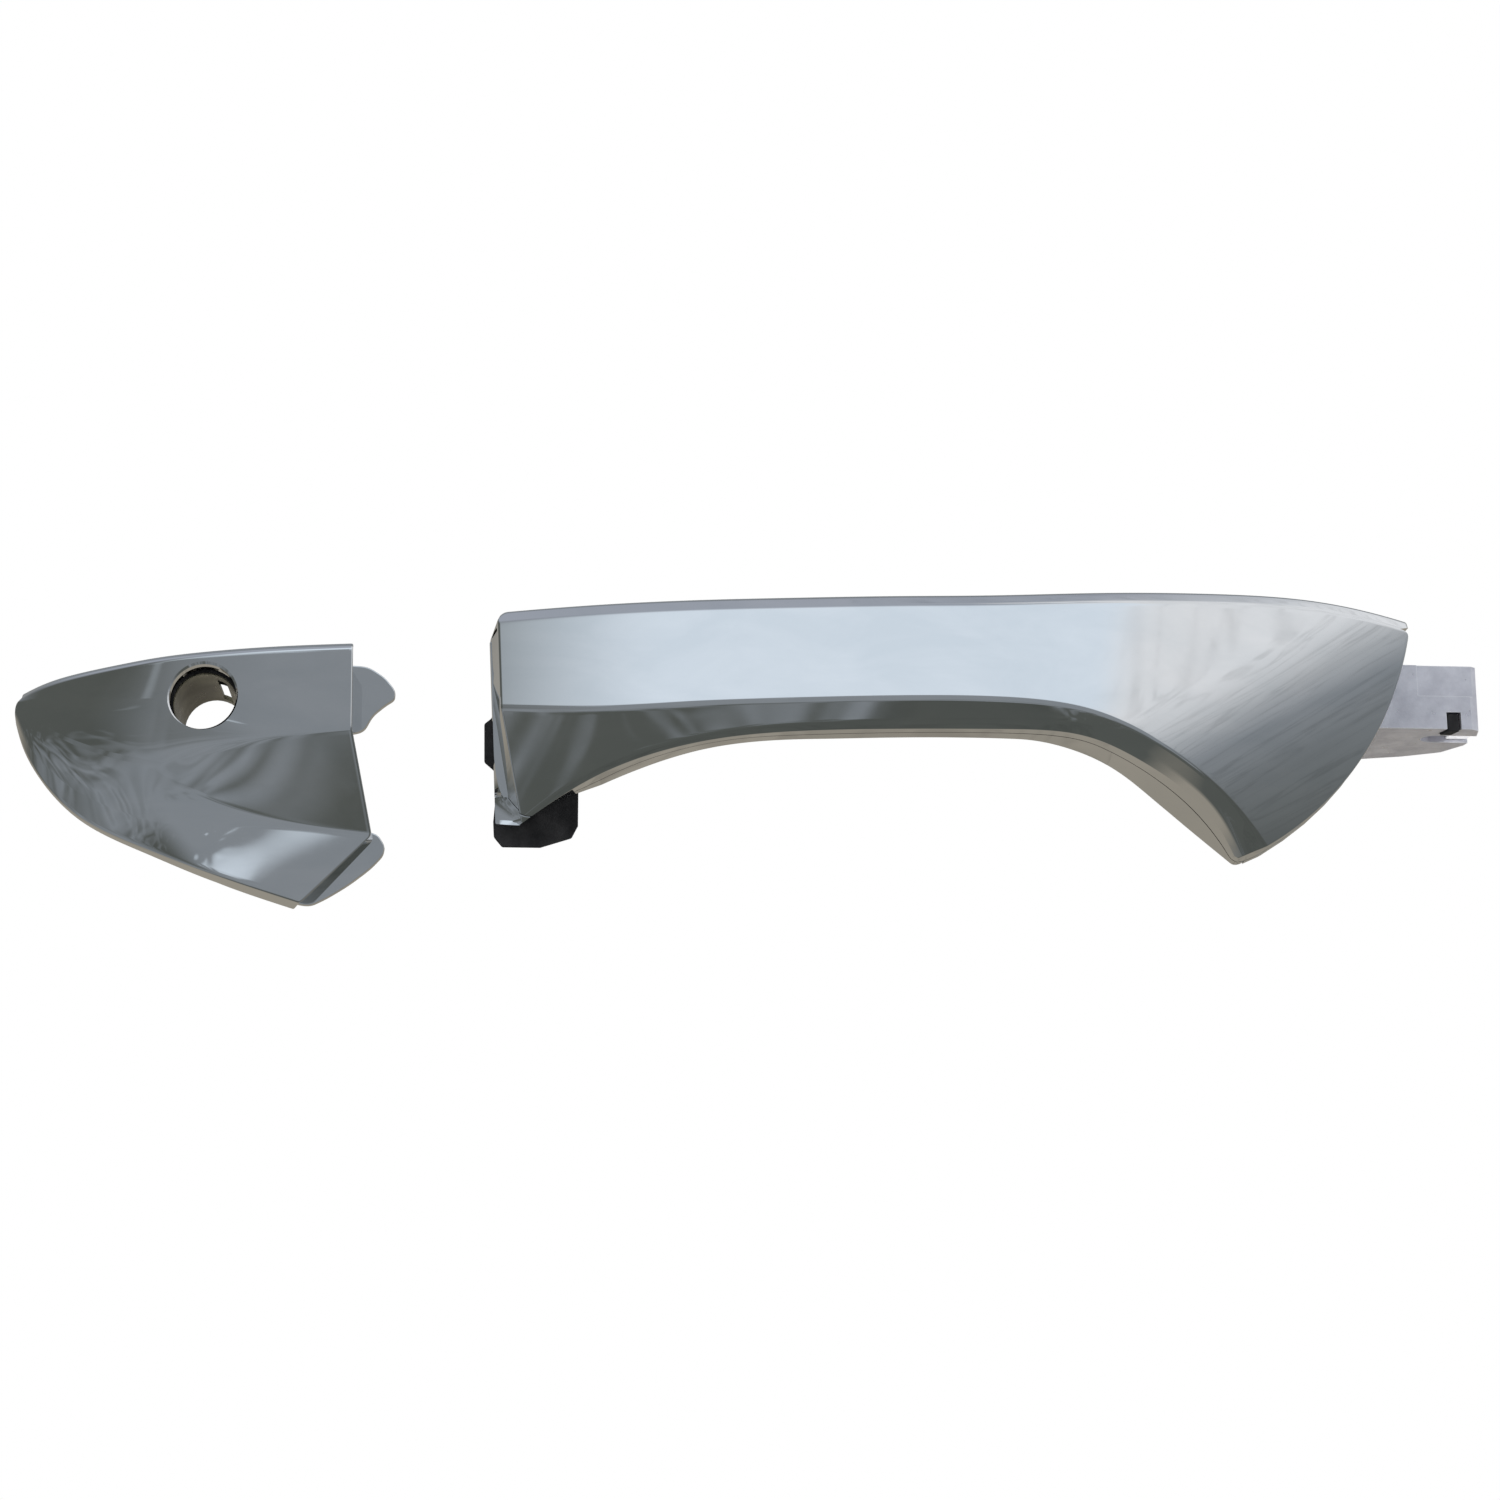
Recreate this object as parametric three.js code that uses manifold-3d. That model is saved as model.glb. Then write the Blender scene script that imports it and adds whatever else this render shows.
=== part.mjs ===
// Outside door handle of a car's front right door: a bow-shaped pull handle with a hinge arm at its front
// and a latch leg at its rear, and the separate rear cap with the hole for the key cylinder.
// Units are millimetres. +X points to the front of the car, +Y into the door, +Z up.
// The plane y = 0 is the outer skin of the door. Outside surfaces have a negative y.
import * as THREE from 'three';
import { mergeVertices } from 'three/addons/utils/BufferGeometryUtils.js';
import Module from 'manifold-3d';

const wasm = await Module();
wasm.setup();

// ---- driving dimensions -------------------------------------------------------------------------
const GAP = 0.35;            // air between neighbouring pieces
const WALL = 2.2;            // wall of the plated mouldings
const BEVEL = { height: 3.0, depth: 1.9 };   // soft band above the grip's upper face
const BOW = { x: -92, y: 34.5 };             // crown of the bow: furthest point from the door
const REAR_BASE_Y = -4.0;    // handle's rear foot, clear of the cap's tongues
const FRONT_BASE_Y = -2.6;   // handle's front foot
const GRIP_BACK_Y = -18.5;   // finger side of the grip
const PIVOT = { x: 46, y: 14 };              // hinge axis, upright, inside the door
const PIN_RADIUS = 3.4;
const PAD_THICKNESS = 1.2;
const CAP_BACK_Y = -1.55;
const KEY_HOLE = { x: -254.2, z: 0.3, radius: 7.8 };
const SLEEVE_TIP = 11;       // the key tube reaches this far into the door
const SCREW = { shank: 1.7, head: 3.1, headHeight: 1.2, clearance: 0.35 };

// Stations along the handle, rear end first. face and crease bound the upper face (x, z).
// lip is the lower edge of the lower face and sole is the edge below it (x, y, z).
// foot is the lower edge on the door side (x, z).
const GRIP = [
  { face: [-186.7, 19.6], crease: [-185.6, -2.1], lip: [-180.6, -5.6, -24.6],
    sole: [-180.4, -4.8, -25.3], foot: [-179.6, -25.4] },
  { face: [-163, 20.7], crease: [-162.6, -3.1], lip: [-162.2, -18, -14.4],
    sole: [-161.8, -16, -15.4], foot: [-161.6, -15.6] },
  { face: [-139.6, 21.4], crease: [-139.7, -2.2], lip: [-139.3, -26.5, -8.6],
    sole: [-139.2, -24.4, -9.5], foot: [-138.8, -8.5] },
  { face: [-116.4, 21.9], crease: [-116.7, -1.4], lip: [-116.4, -30, -6.2],
    sole: [-116.3, -28, -7.4], foot: [-115.5, -7] },
  { face: [-93, 22.6], crease: [-93.7, -0.7], lip: [-93.3, -30.5, -5.4],
    sole: [-93.1, -28.5, -6.6], foot: [-92, -6.2] },
  { face: [-69.4, 23.5], crease: [-70.4, -0.4], lip: [-69.9, -30.3, -4.8],
    sole: [-69.6, -28, -6.1], foot: [-68.2, -6] },
  { face: [-43, 25.3], crease: [-49.5, -2.5], lip: [-51, -29.8, -5.2],
    sole: [-51, -27, -6.8], foot: [-52, -7] },
  { face: [-16, 26.7], crease: [-32.8, -9.8], lip: [-34.7, -26.5, -10.9],
    sole: [-35.7, -23, -11.9], foot: [-37, -11] },
  { face: [9, 26.8], crease: [-17.3, -19.4], lip: [-18.8, -20, -21.2],
    sole: [-20.4, -16.8, -21], foot: [-23, -21.6] },
  { face: [33.4, 23.9], crease: [-3.9, -30.2], lip: [-8.6, -11.5, -32],
    sole: [-10.6, -8, -32.6], foot: [-9.6, -32.8] },
];
const END_RAKE = 2;          // the rear end leans back towards the cap by this much on the door side
const FOOT_RAKE = 6.8;       // and by this much at its lower corner
const VALLEY_RAKE = 7.8;     // the cap's end leans back alike beside that corner
const FRONT_EDGE_SAGITTA = 7.5;   // the front edge is an arc between the upper corner and the tip
const PART_LINE = [[-200, -7], [-184, -7], [-170, -7], [-154, -14.5], [-138, -20.5], [-112, -24],
  [-60, -24], [-42, -20],
  [-24, -13.5], [-13, -7.6], [0, -5.2], [60, -5.2]];

// Stations along the cap, nose first: top edge, ridge, valley and bottom edge (x, y, z).
const CAP = [
  { top: [-297.9, -6.2, 3.8], ridge: [-299, -7.6, 1.5], valley: [-299.4, -7.2, -0.5],
    rim: [-299, -5.6, -3.4] },
  { top: [-288.5, -11.6, 6.5], ridge: [-291, -13.2, -2], valley: [-293.5, -10.6, -8.5],
    rim: [-295, -5.4, -13] },
  { top: [-274, -16, 9], ridge: [-277, -17.6, -6], valley: [-281, -12.6, -17], rim: [-284, -6, -25] },
  { top: [-260, -18.8, 10.9], ridge: [-262, -20.4, -8.5], valley: [-265, -13, -22], rim: [-268, -8, -33] },
  { top: [-240, -20.9, 12.5], ridge: [-243, -22.6, -9.2], valley: [-243.5, -9.9, -26],
    rim: [-251, -11.6, -39.8] },
  { top: [-219.9, -22.2, 13.4], ridge: [-219.5, -24, -7.5], valley: [-215.2, -7, -28.9],
    rim: [-231, -10, -45.9] },
];
const CAP_BEVEL = { height: 1.3, depth: 1.3 };

// ---- materials ----------------------------------------------------------------------------------
const finish = {
  chrome: { color: 0xb4bac0, roughness: 0.08, metalness: 1 },
  zinc: { color: 0xc9cbd4, roughness: 0.35, metalness: 0.9 },
  steel: { color: 0x9a9da1, roughness: 0.4, metalness: 1 },
  brass: { color: 0xb08d4a, roughness: 0.35, metalness: 1 },
  rubber: { color: 0x0b0b0c, roughness: 0.8, metalness: 0 },
  blackPlastic: { color: 0x1d1e20, roughness: 0.5, metalness: 0 },
  nylon: { color: 0xe8e8ea, roughness: 0.5, metalness: 0 },
};

// ---- solids -------------------------------------------------------------------------------------
const v3 = (x, y, z) => new THREE.Vector3(x, y, z);
const lerp = THREE.MathUtils.lerp;
const smoothstep = THREE.MathUtils.smoothstep;
const clamp = THREE.MathUtils.clamp;

function toSolid(source) {
  const bare = source.clone();
  bare.deleteAttribute('normal');
  bare.deleteAttribute('uv');
  const merged = mergeVertices(bare, 1e-4);
  const vertProperties = new Float32Array(merged.attributes.position.array);
  const triVerts = new Uint32Array(merged.index.array);
  return new wasm.Manifold(new wasm.Mesh({ numProp: 3, vertProperties, triVerts }));
}

function signedVolume(positions, faces) {
  let total = 0;
  const [a, b, c] = [v3(), v3(), v3()];
  for (const [i, j, k] of faces) {
    a.copy(positions[i]);
    b.copy(positions[j]);
    c.copy(positions[k]);
    total += a.dot(b.cross(c));
  }
  return total;
}

// A closed skin over a row of rings that all have the same number of points.
function skinRings(rings) {
  const count = rings[0].length;
  const positions = rings.flat();
  const faces = [];
  for (let i = 0; i < rings.length - 1; i += 1) {
    for (let j = 0; j < count; j += 1) {
      const a = i * count + j;
      const b = i * count + (j + 1) % count;
      faces.push([a, b, b + count], [a, b + count, a + count]);
    }
  }
  const ends = [[0, true], [rings.length - 1, false]];
  for (const [index, flipped] of ends) {
    const outline = rings[index].map((p) => new THREE.Vector2(p.y, p.z));
    const start = index * count;
    const clockwise = THREE.ShapeUtils.isClockWise(outline);
    for (const [a, b, c] of THREE.ShapeUtils.triangulateShape(outline, [])) {
      const turned = flipped !== clockwise;
      faces.push(turned ? [start + a, start + c, start + b] : [start + a, start + b, start + c]);
    }
  }
  // The side faces follow the ring's sense, so the ends are matched to them by the same rule.
  const clockwise = THREE.ShapeUtils.isClockWise(rings[0].map((p) => new THREE.Vector2(p.y, p.z)));
  const sides = (rings.length - 1) * count * 2;
  const closed = faces.map((face, i) => (i < sides && clockwise ? [face[0], face[2], face[1]] : face));
  const outward = signedVolume(positions, closed) > 0 ? closed : closed.map(([a, b, c]) => [a, c, b]);
  const geometry = new THREE.BufferGeometry();
  geometry.setAttribute('position',
    new THREE.Float32BufferAttribute(positions.flatMap((p) => p.toArray()), 3));
  geometry.setIndex(outward.flat());
  return toSolid(geometry);
}

// A flat outline in one plane, extruded along the third axis from low to high.
function prism(outline, axis, low, high, holes = []) {
  const flat = new THREE.Shape(outline.map(([a, b]) => new THREE.Vector2(a, b)));
  flat.holes = holes.map((hole) => new THREE.Path(hole.map(([a, b]) => new THREE.Vector2(a, b))));
  const body = new THREE.ExtrudeGeometry(flat, { depth: high - low, bevelEnabled: false, curveSegments: 12 });
  const turn = new THREE.Matrix4();
  if (axis === 'z') turn.makeTranslation(0, 0, low);
  if (axis === 'y') turn.set(1, 0, 0, 0, 0, 0, -1, high, 0, 1, 0, 0, 0, 0, 0, 1);
  if (axis === 'x') turn.set(0, 0, 1, low, 1, 0, 0, 0, 0, 1, 0, 0, 0, 0, 0, 1);
  body.applyMatrix4(turn);
  return toSolid(body);
}

function box([x0, y0, z0], [x1, y1, z1]) {
  const shape = new THREE.BoxGeometry(x1 - x0, y1 - y0, z1 - z0);
  shape.translate((x0 + x1) / 2, (y0 + y1) / 2, (z0 + z1) / 2);
  return toSolid(shape);
}

// A turned piece along Y: profile points are (radius, y).
function turnedAlongY(profile, x, z, segments = 28) {
  const points = profile.map(([r, y]) => new THREE.Vector2(r, y));
  const shape = new THREE.LatheGeometry(points, segments);
  shape.translate(x, 0, z);
  return toSolid(shape);
}

function pinAlongY(radius, x, z, y0, y1, segments = 24) {
  const shape = new THREE.CylinderGeometry(radius, radius, y1 - y0, segments);
  shape.translate(x, (y0 + y1) / 2, z);
  return toSolid(shape);
}

function pinAlongZ(radius, x, y, z0, z1, segments = 28) {
  const shape = new THREE.CylinderGeometry(radius, radius, z1 - z0, segments);
  shape.rotateX(Math.PI / 2);
  shape.translate(x, y, (z0 + z1) / 2);
  return toSolid(shape);
}

function toMesh(name, solid, look) {
  const { vertProperties, triVerts } = solid.getMesh();
  const geometry = new THREE.BufferGeometry();
  geometry.setAttribute('position', new THREE.Float32BufferAttribute(vertProperties, 3));
  geometry.setIndex(Array.from(triVerts));
  geometry.computeVertexNormals();
  const mesh = new THREE.Mesh(geometry, new THREE.MeshStandardMaterial(finish[look]));
  mesh.name = name;
  return mesh;
}

// ---- surfaces of the handle ---------------------------------------------------------------------
function rail(points) {
  return new THREE.CatmullRomCurve3(points.map(([x, y, z]) => v3(x, y, z)), false, 'centripetal');
}

// Depth of the upper face: a bow along the handle, leaning back 8 degrees,
// and rolled towards the door along a diagonal over the front flare.
function faceDepth(x, z) {
  const along = x - BOW.x;
  const sink = along < 0 ? 10.5 * (along / 94) ** 2 : 0.00104 * along ** 2;
  const roll = Math.max(0, 0.5 * x - 0.866 * z + 18);
  return -BOW.y + sink + 0.14 * (z + 2) + (0.0125 * roll ** 3) / (roll + 10);
}

// Door side of the handle: two feet and the finger arch between them.
function backDepth(x) {
  const rise = smoothstep(x, -170, -112);
  const fall = 1 - smoothstep(x, -64, -27);
  const foot = x < BOW.x ? REAR_BASE_Y : FRONT_BASE_Y;
  return lerp(foot, GRIP_BACK_Y, rise * fall);
}

const gripRail = {
  face: rail(GRIP.map(({ face: [x, z] }) => [x, 0, z])),
  crease: rail(GRIP.map(({ crease: [x, z] }) => [x, faceDepth(x, z), z])),
  lip: rail(GRIP.map(({ lip }) => lip)),
  sole: rail(GRIP.map(({ sole }) => sole)),
  foot: rail(GRIP.map(({ foot: [x, z] }) => [x, 0, z])),
};

// A point of the upper face: u from rear to front, v from the bevel down to the crease.
function facePoint(u, v) {
  const p = gripRail.face.getPoint(u).lerp(gripRail.crease.getPoint(u), v);
  const across = v3().subVectors(gripRail.crease.getPoint(1), gripRail.face.getPoint(1));
  const outward = v3(-across.z, 0, across.x).normalize();
  p.addScaledVector(outward, FRONT_EDGE_SAGITTA * 4 * v * (1 - v) * u ** 6);
  p.y = faceDepth(p.x, p.z);
  return p;
}

const FACE_ROWS = [0, 0.25, 0.5, 0.75];

// 1 at an end of the rails, fading to 0 at the next station.
function nearEnd(u, stations) {
  return Math.max(0, 1 - (stations - 1) * u);
}

function rakeRear(u, ...points) {
  for (const p of points) p.x -= END_RAKE * nearEnd(u, GRIP.length);
}

function gripRing(u) {
  const face = FACE_ROWS.map((v) => facePoint(u, v));
  const top = face[0].clone().add(v3(0, BEVEL.depth, BEVEL.height));
  const crease = gripRail.crease.getPoint(u);
  const lip = gripRail.lip.getPoint(u);
  const sole = gripRail.sole.getPoint(u);
  const foot = gripRail.foot.getPoint(u);
  foot.y = backDepth(foot.x);
  const back = [0.75, 0.5, 0.25].map((v) => {
    const p = facePoint(u, v);
    p.y = backDepth(p.x);
    return p;
  });
  const topBack = v3(top.x, backDepth(top.x), top.z - 0.5);
  rakeRear(u, ...back, topBack);
  foot.x -= FOOT_RAKE * nearEnd(u, GRIP.length);
  return [top, ...face, crease, lip, sole, foot, ...back, topBack];
}

// The same ring shrunk by the wall, kept shallow where the section runs out to the lower corner.
function gripHollowRing(u, wall) {
  const slope = 1.28;
  const face = FACE_ROWS.map((v) => facePoint(u, v).add(v3(0, wall, v === 0 ? -0.5 * wall : 0)));
  const top = face[0].clone().add(v3(0, BEVEL.depth, BEVEL.height - 0.7 * wall));
  const crease = gripRail.crease.getPoint(u);
  const lip = gripRail.lip.getPoint(u);
  const back = backDepth(lip.x) - wall;
  const byDepth = (back - 1 - slope * wall - crease.y) / (lip.y - crease.y);
  const byEdge = Math.max(0.3, 1 - (0.7 * wall) / Math.abs(crease.z - lip.z));
  const low = crease.clone().lerp(lip, clamp(Math.min(byDepth, byEdge), 0.05, 1));
  low.y += slope * wall;
  crease.y += 1.15 * wall;
  const sole = v3(low.x, lerp(low.y, back, 0.4), low.z);
  const foot = v3(low.x, back, low.z);
  const rows = [0.75, 0.5, 0.25].map((v) => {
    const p = facePoint(u, v);
    p.y = backDepth(p.x) - wall;
    return p;
  });
  const topBack = v3(top.x, backDepth(top.x) - wall, top.z - 0.3);
  rakeRear(u, foot, ...rows, topBack);
  return [top, ...face, crease, low, sole, foot, ...rows, topBack];
}

function steps(low, high, count) {
  return Array.from({ length: count + 1 }, (_, i) => lerp(low, high, i / count));
}

const GRIP_COLUMNS = 34;
const gripBody = skinRings(steps(0, 1, GRIP_COLUMNS).map(gripRing));
const hollowRings = steps(0, 0.985, GRIP_COLUMNS).map((u) => gripHollowRing(u, WALL));
const rearMouth = hollowRings[0].map((p) => p.clone().add(v3(-6, 0, 0)));
const gripHollow = skinRings([rearMouth, ...hollowRings]);

// What sits inside the shells keeps to this room. It is open to the door through the feet.
const gripRoom = skinRings(steps(0, 0.98, GRIP_COLUMNS).map((u) => gripHollowRing(u, WALL + GAP)))
  .add(box([-220, REAR_BASE_Y - WALL - 0.5, -60], [80, 70, 60]));

function behindPartLine(shift) {
  const line = rail(PART_LINE.map(([x, y]) => [x, y, 0])).getPoints(40);
  const outline = line.map((p) => [p.x, p.y + shift]);
  return prism([...outline, [80, 60], [-220, 60]], 'z', -60, 60);
}

// ---- latch leg, hinge arm and carrier -----------------------------------------------------------
const LEG = { x0: -181.4, x1: -172, z0: -10, z1: 2, tip: 38 };
const LATCH_NOTCH = { y0: 25, y1: 34, roof: -5, sill: -9 };
const ARM = { x0: 7, x1: 24, z0: 4.2, z1: 20.4, front: 4 };
const BAR = { z0: 6, z1: 18, thickness: 5.4, offset: 3.7, x0: -181.4, x1: 24 };
const SHELL_SCREWS = [[-165, 12], [-20, 12], [-4, 12]];

function barFront(x) {
  return faceDepth(x, BAR.z1) + BAR.offset;
}

function makeCarrierBar() {
  const xs = steps(BAR.x0, BAR.x1, 26);
  const front = xs.map((x) => [x, barFront(x)]);
  const rear = xs.map((x) => [x, barFront(x) + BAR.thickness]).reverse();
  let bar = prism([...front, ...rear], 'z', BAR.z0, BAR.z1);
  for (const [x, z] of SHELL_SCREWS) {
    bar = bar.subtract(pinAlongY(SCREW.shank + SCREW.clearance, x, z, -40, 0));
  }
  return bar.intersect(gripRoom);
}

function makeLatchLeg() {
  const root = Math.max(barFront(LEG.x0), barFront(LEG.x1)) + BAR.thickness + GAP;
  const { y0, y1, roof, sill } = LATCH_NOTCH;
  const outline = [[root, BAR.z1], [-8, BAR.z1], [-7.4, LEG.z1], [LEG.tip, LEG.z1 - 1.5],
    [LEG.tip, sill], [y1, sill],
    [y1, roof], [y0, roof], [y0, sill], [12, LEG.z0], [root, LEG.z0]];
  return prism(outline, 'x', LEG.x0, LEG.x1).intersect(gripRoom);
}

function makeHingeArm() {
  const rootLine = [7, 12, 18, 24].map((x) => [x, barFront(x) + BAR.thickness + GAP]);
  const outline = [...rootLine, [ARM.x1, ARM.front], [52.6, ARM.front], [54.6, 5.4], [56, 12], [55.2, 20],
    [51.5, 27.5], [43, 32.5], [33, 36], [10, 38], [ARM.x0, 36]];
  const mouth = box([PIVOT.x, PIVOT.y - PIN_RADIUS, 0], [70, PIVOT.y + PIN_RADIUS, 30]);
  const pocket = [[12, 9], [36, 9], [39, 12], [39, 24], [37, 29], [30, 32], [12, 33.5]];
  const recess = box([39.5, ARM.front - 1, 12.6], [60, ARM.front + 0.5, 30]);
  return prism(outline, 'z', ARM.z0, ARM.z1)
    .subtract(pinAlongZ(PIN_RADIUS, PIVOT.x, PIVOT.y, 0, 30))
    .subtract(mouth)
    .subtract(prism(pocket, 'z', ARM.z0 + 3, 40))
    .subtract(recess)
    .subtract(armDamperSlot(0.3))
    .intersect(gripRoom);
}

function armDamperSlot(margin) {
  const outline = [[47.6 - margin, 0], [50.6 + margin, 0],
    [48.6 + margin, 8.4 + margin], [45.6 - margin, 8.4 + margin]];
  return prism(outline, 'z', -5, 8.2 + margin);
}

function makeArmDamper() {
  return armDamperSlot(0).intersect(box([40, ARM.front + 0.2, ARM.z0 - 0.5], [60, 20, 30]));
}

function makeHingeBush() {
  const side = PIN_RADIUS - GAP;
  return box([PIVOT.x + 3.7, PIVOT.y - side, ARM.z0 + 0.8], [55.2, PIVOT.y + side, ARM.z1 - 0.8]);
}

function makeWearPad() {
  return box([LEG.x0 + 1, 4, LEG.z1 - 1.5], [LEG.x1 - 1, 26, LEG.z1 + 1.6]).subtract(
    prism([[-8, -20], [-7.4, LEG.z1 + GAP], [LEG.tip, LEG.z1 - 1.5 + GAP], [LEG.tip, -20]], 'x', -200, -160),
  );
}

function makeLegStopRubber() {
  return box([LEG.x0 + 1.5, 29, -2], [LEG.x1 - 1.5, 36, LEG.z1 + 2.2]).subtract(
    prism([[-8, -20], [-7.4, LEG.z1 + GAP], [LEG.tip, LEG.z1 - 1.5 + GAP], [LEG.tip, -20]], 'x', -200, -160),
  );
}

// ---- shells of the handle -----------------------------------------------------------------------
const legOpening = box([LEG.x0 - 0.6, -12, LEG.z0 - 0.6], [LEG.x1 + 0.6, 0, LEG.z1 + 0.6]);
const armOpening = box([ARM.x0 - 0.5, -12, ARM.z0 - 0.5], [ARM.x1 + 0.5, 0, ARM.z1 + 0.5]);

function makeOuterShell() {
  return gripBody.subtract(gripHollow).subtract(behindPartLine(-GAP / 2)).subtract(armOpening);
}

function makeInnerShell() {
  let shell = gripBody.subtract(gripHollow).intersect(behindPartLine(GAP / 2));
  shell = shell.subtract(legOpening).subtract(armOpening);
  for (const [x, z] of SHELL_SCREWS) {
    const face = backDepth(x);
    shell = shell.subtract(pinAlongY(SCREW.shank + SCREW.clearance, x, z, -30, 0));
    shell = shell.subtract(pinAlongY(SCREW.head + 0.4, x, z, face - 1.5, 5));
  }
  return shell;
}

function makeShellScrew(x, z) {
  const seat = backDepth(x) - 1.2;
  const tip = barFront(x) + 1;
  const profile = [[0, tip], [SCREW.shank, tip + 0.6], [SCREW.shank, seat], [SCREW.head, seat],
    [SCREW.head, seat + SCREW.headHeight * 0.6], [SCREW.head * 0.7, seat + SCREW.headHeight - 0.1],
    [0, seat + SCREW.headHeight - 0.1]];
  return turnedAlongY(profile, x, z, 18);
}

function makeEndPlate() {
  const inset = WALL + GAP;
  const plate = skinRings([0.002, 0.009].map((u) => gripHollowRing(u, inset)));
  const lens = new THREE.Shape();
  lens.absellipse(-13, -4, 2.4, 6, 0, 2 * Math.PI, false);
  return plate.subtract(prism(lens.getPoints(10).slice(0, -1).map((p) => [p.x, p.y]), 'x', -200, -150));
}

// ---- door pads ----------------------------------------------------------------------------------
const FRONT_PAD = [[-26, 26], [-10, 27.4], [10, 27.2], [30.6, 23], [28.2, 12], [23.4, 0.6], [14.6, -13.5],
  [3, -24.6], [-7.5, -30.2], [-10.5, -30], [-21, -20.5], [-26, -14]];
const REAR_PAD = [[-187.6, 19], [-187.8, 1.5], [-189.6, 0], [-189.4, -9.4], [-187, -11.5], [-186.4, -16],
  [-187, -24], [-186.8, -27.6],
  [-184.8, -30], [-175.8, -30], [-168.4, -27.6], [-166.9, -24.6], [-167, 19]];

function makeFrontGasket() {
  // The notch is open to the front, where the arm swings outwards as the handle is pulled.
  const notch = box([ARM.x0 - 2.5, -9, ARM.z0 - 2.6], [60, 9, ARM.z1 + 1.8]);
  return prism(FRONT_PAD, 'y', -PAD_THICKNESS, 0).subtract(notch);
}

function makeRearGasket() {
  const slot = [[LEG.x0 - 2.2, LEG.z0 - 2], [LEG.x1 + 2, LEG.z0 - 2], [LEG.x1 + 2, 6.4], [LEG.x0 - 2.2, 6.4]];
  return prism(REAR_PAD, 'y', -PAD_THICKNESS, 0, [slot]);
}

// ---- rear cap -----------------------------------------------------------------------------------
const capRail = {
  top: rail(CAP.map(({ top }) => top)),
  ridge: rail(CAP.map(({ ridge }) => ridge)),
  valley: rail(CAP.map(({ valley }) => valley)),
  rim: rail(CAP.map(({ rim }) => rim)),
};

// The door side of the cap's section, raked at the mating end.
function capBack(u, depth, rim, valley, ridge, top) {
  const share = nearEnd(1 - u, CAP.length);
  const rake = (p) => (p === valley ? VALLEY_RAKE : END_RAKE) * share;
  return [rim, valley, ridge, top].map((p) => v3(p.x - rake(p), depth, p.z));
}

function capRing(u) {
  const top = capRail.top.getPoint(u);
  const ridge = capRail.ridge.getPoint(u);
  const valley = capRail.valley.getPoint(u);
  const rim = capRail.rim.getPoint(u);
  const bevel = top.clone().add(v3(0, -CAP_BEVEL.depth, -CAP_BEVEL.height));
  const front = [top, bevel, bevel.clone().lerp(ridge, 0.5), ridge, ridge.clone().lerp(valley, 0.5), valley,
    valley.clone().lerp(rim, 0.5), rim];
  return [...front, ...capBack(u, CAP_BACK_Y, rim, valley, ridge, top)];
}

function capHollowRing(u, wall, back) {
  const top = capRail.top.getPoint(u).add(v3(0, wall * 0.6, -wall * 1.15));
  const ridge = capRail.ridge.getPoint(u).add(v3(0, wall * 1.15, 0));
  const valley = capRail.valley.getPoint(u).add(v3(-0.4 * wall, wall * 0.9, 0.4 * wall));
  const rim = capRail.rim.getPoint(u);
  const inwards = capRail.top.getPoint(u).sub(rim).setY(0).normalize();
  rim.add(inwards.multiplyScalar(1.5 * wall)).add(v3(0, wall, 0));
  const deep = [valley, rim].map((p) => v3(p.x, Math.min(p.y, CAP_BACK_Y - 1), p.z));
  const front = [top, top.clone().lerp(ridge, 0.5), ridge, ridge.clone().lerp(deep[0], 0.5), ...deep];
  return [...front, ...capBack(u, back, rim, valley, ridge, top)];
}

const CAP_COLUMNS = 18;
const TONGUES = [
  [[-223, 13.2], [-217.5, 13], [-213.4, 10.4], [-210.8, 7.2], [-210.9, 5],
    [-213, 3.6], [-216, 1], [-218, -3], [-223, -4]],
  [[-228, -26], [-214.4, -27.4], [-212.2, -30.6], [-212.6, -33], [-215.5, -36.2], [-220.5, -40.2],
    [-225.5, -43.4], [-229.5, -45.4], [-236, -44], [-232, -36]],
];
const TONGUE_Y = [-3.6, CAP_BACK_Y];

function makeCapShell() {
  const body = skinRings(steps(0, 1, CAP_COLUMNS).map(capRing));
  const hollow = skinRings(steps(0.05, 0.965, CAP_COLUMNS).map((u) => capHollowRing(u, WALL, 6)));
  let shell = body;
  for (const outline of TONGUES) shell = shell.add(prism(outline, 'y', ...TONGUE_Y));
  shell = shell.subtract(hollow);
  return shell.subtract(pinAlongY(KEY_HOLE.radius, KEY_HOLE.x, KEY_HOLE.z, -40, 10, 40));
}

// The cap's outline seen from the front, drawn in by an inset.
function capOutline(u0, u1, inset) {
  const us = steps(u0, u1, 14);
  const upper = us.map((u) => capRail.top.getPoint(u)).map((p) => [p.x, p.z - inset]);
  const lower = us.map((u) => capRail.rim.getPoint(u)).map((p) => [p.x + inset * 0.4, p.z + inset]).reverse();
  return [...upper, ...lower];
}

const CAP_FRAME = { y0: -6.4, y1: -2.2, screws: [[-283, -6], [-237, 4]] };
const CAP_POST = { x: -240, z: -15, radius: 4.6, bore: 2.6, tip: 12 };
const CLIPS = [{ name: 'cap_clip_nose', x: -276, z: -14 }, { name: 'cap_clip_lower', x: -248, z: -27 }];

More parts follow.
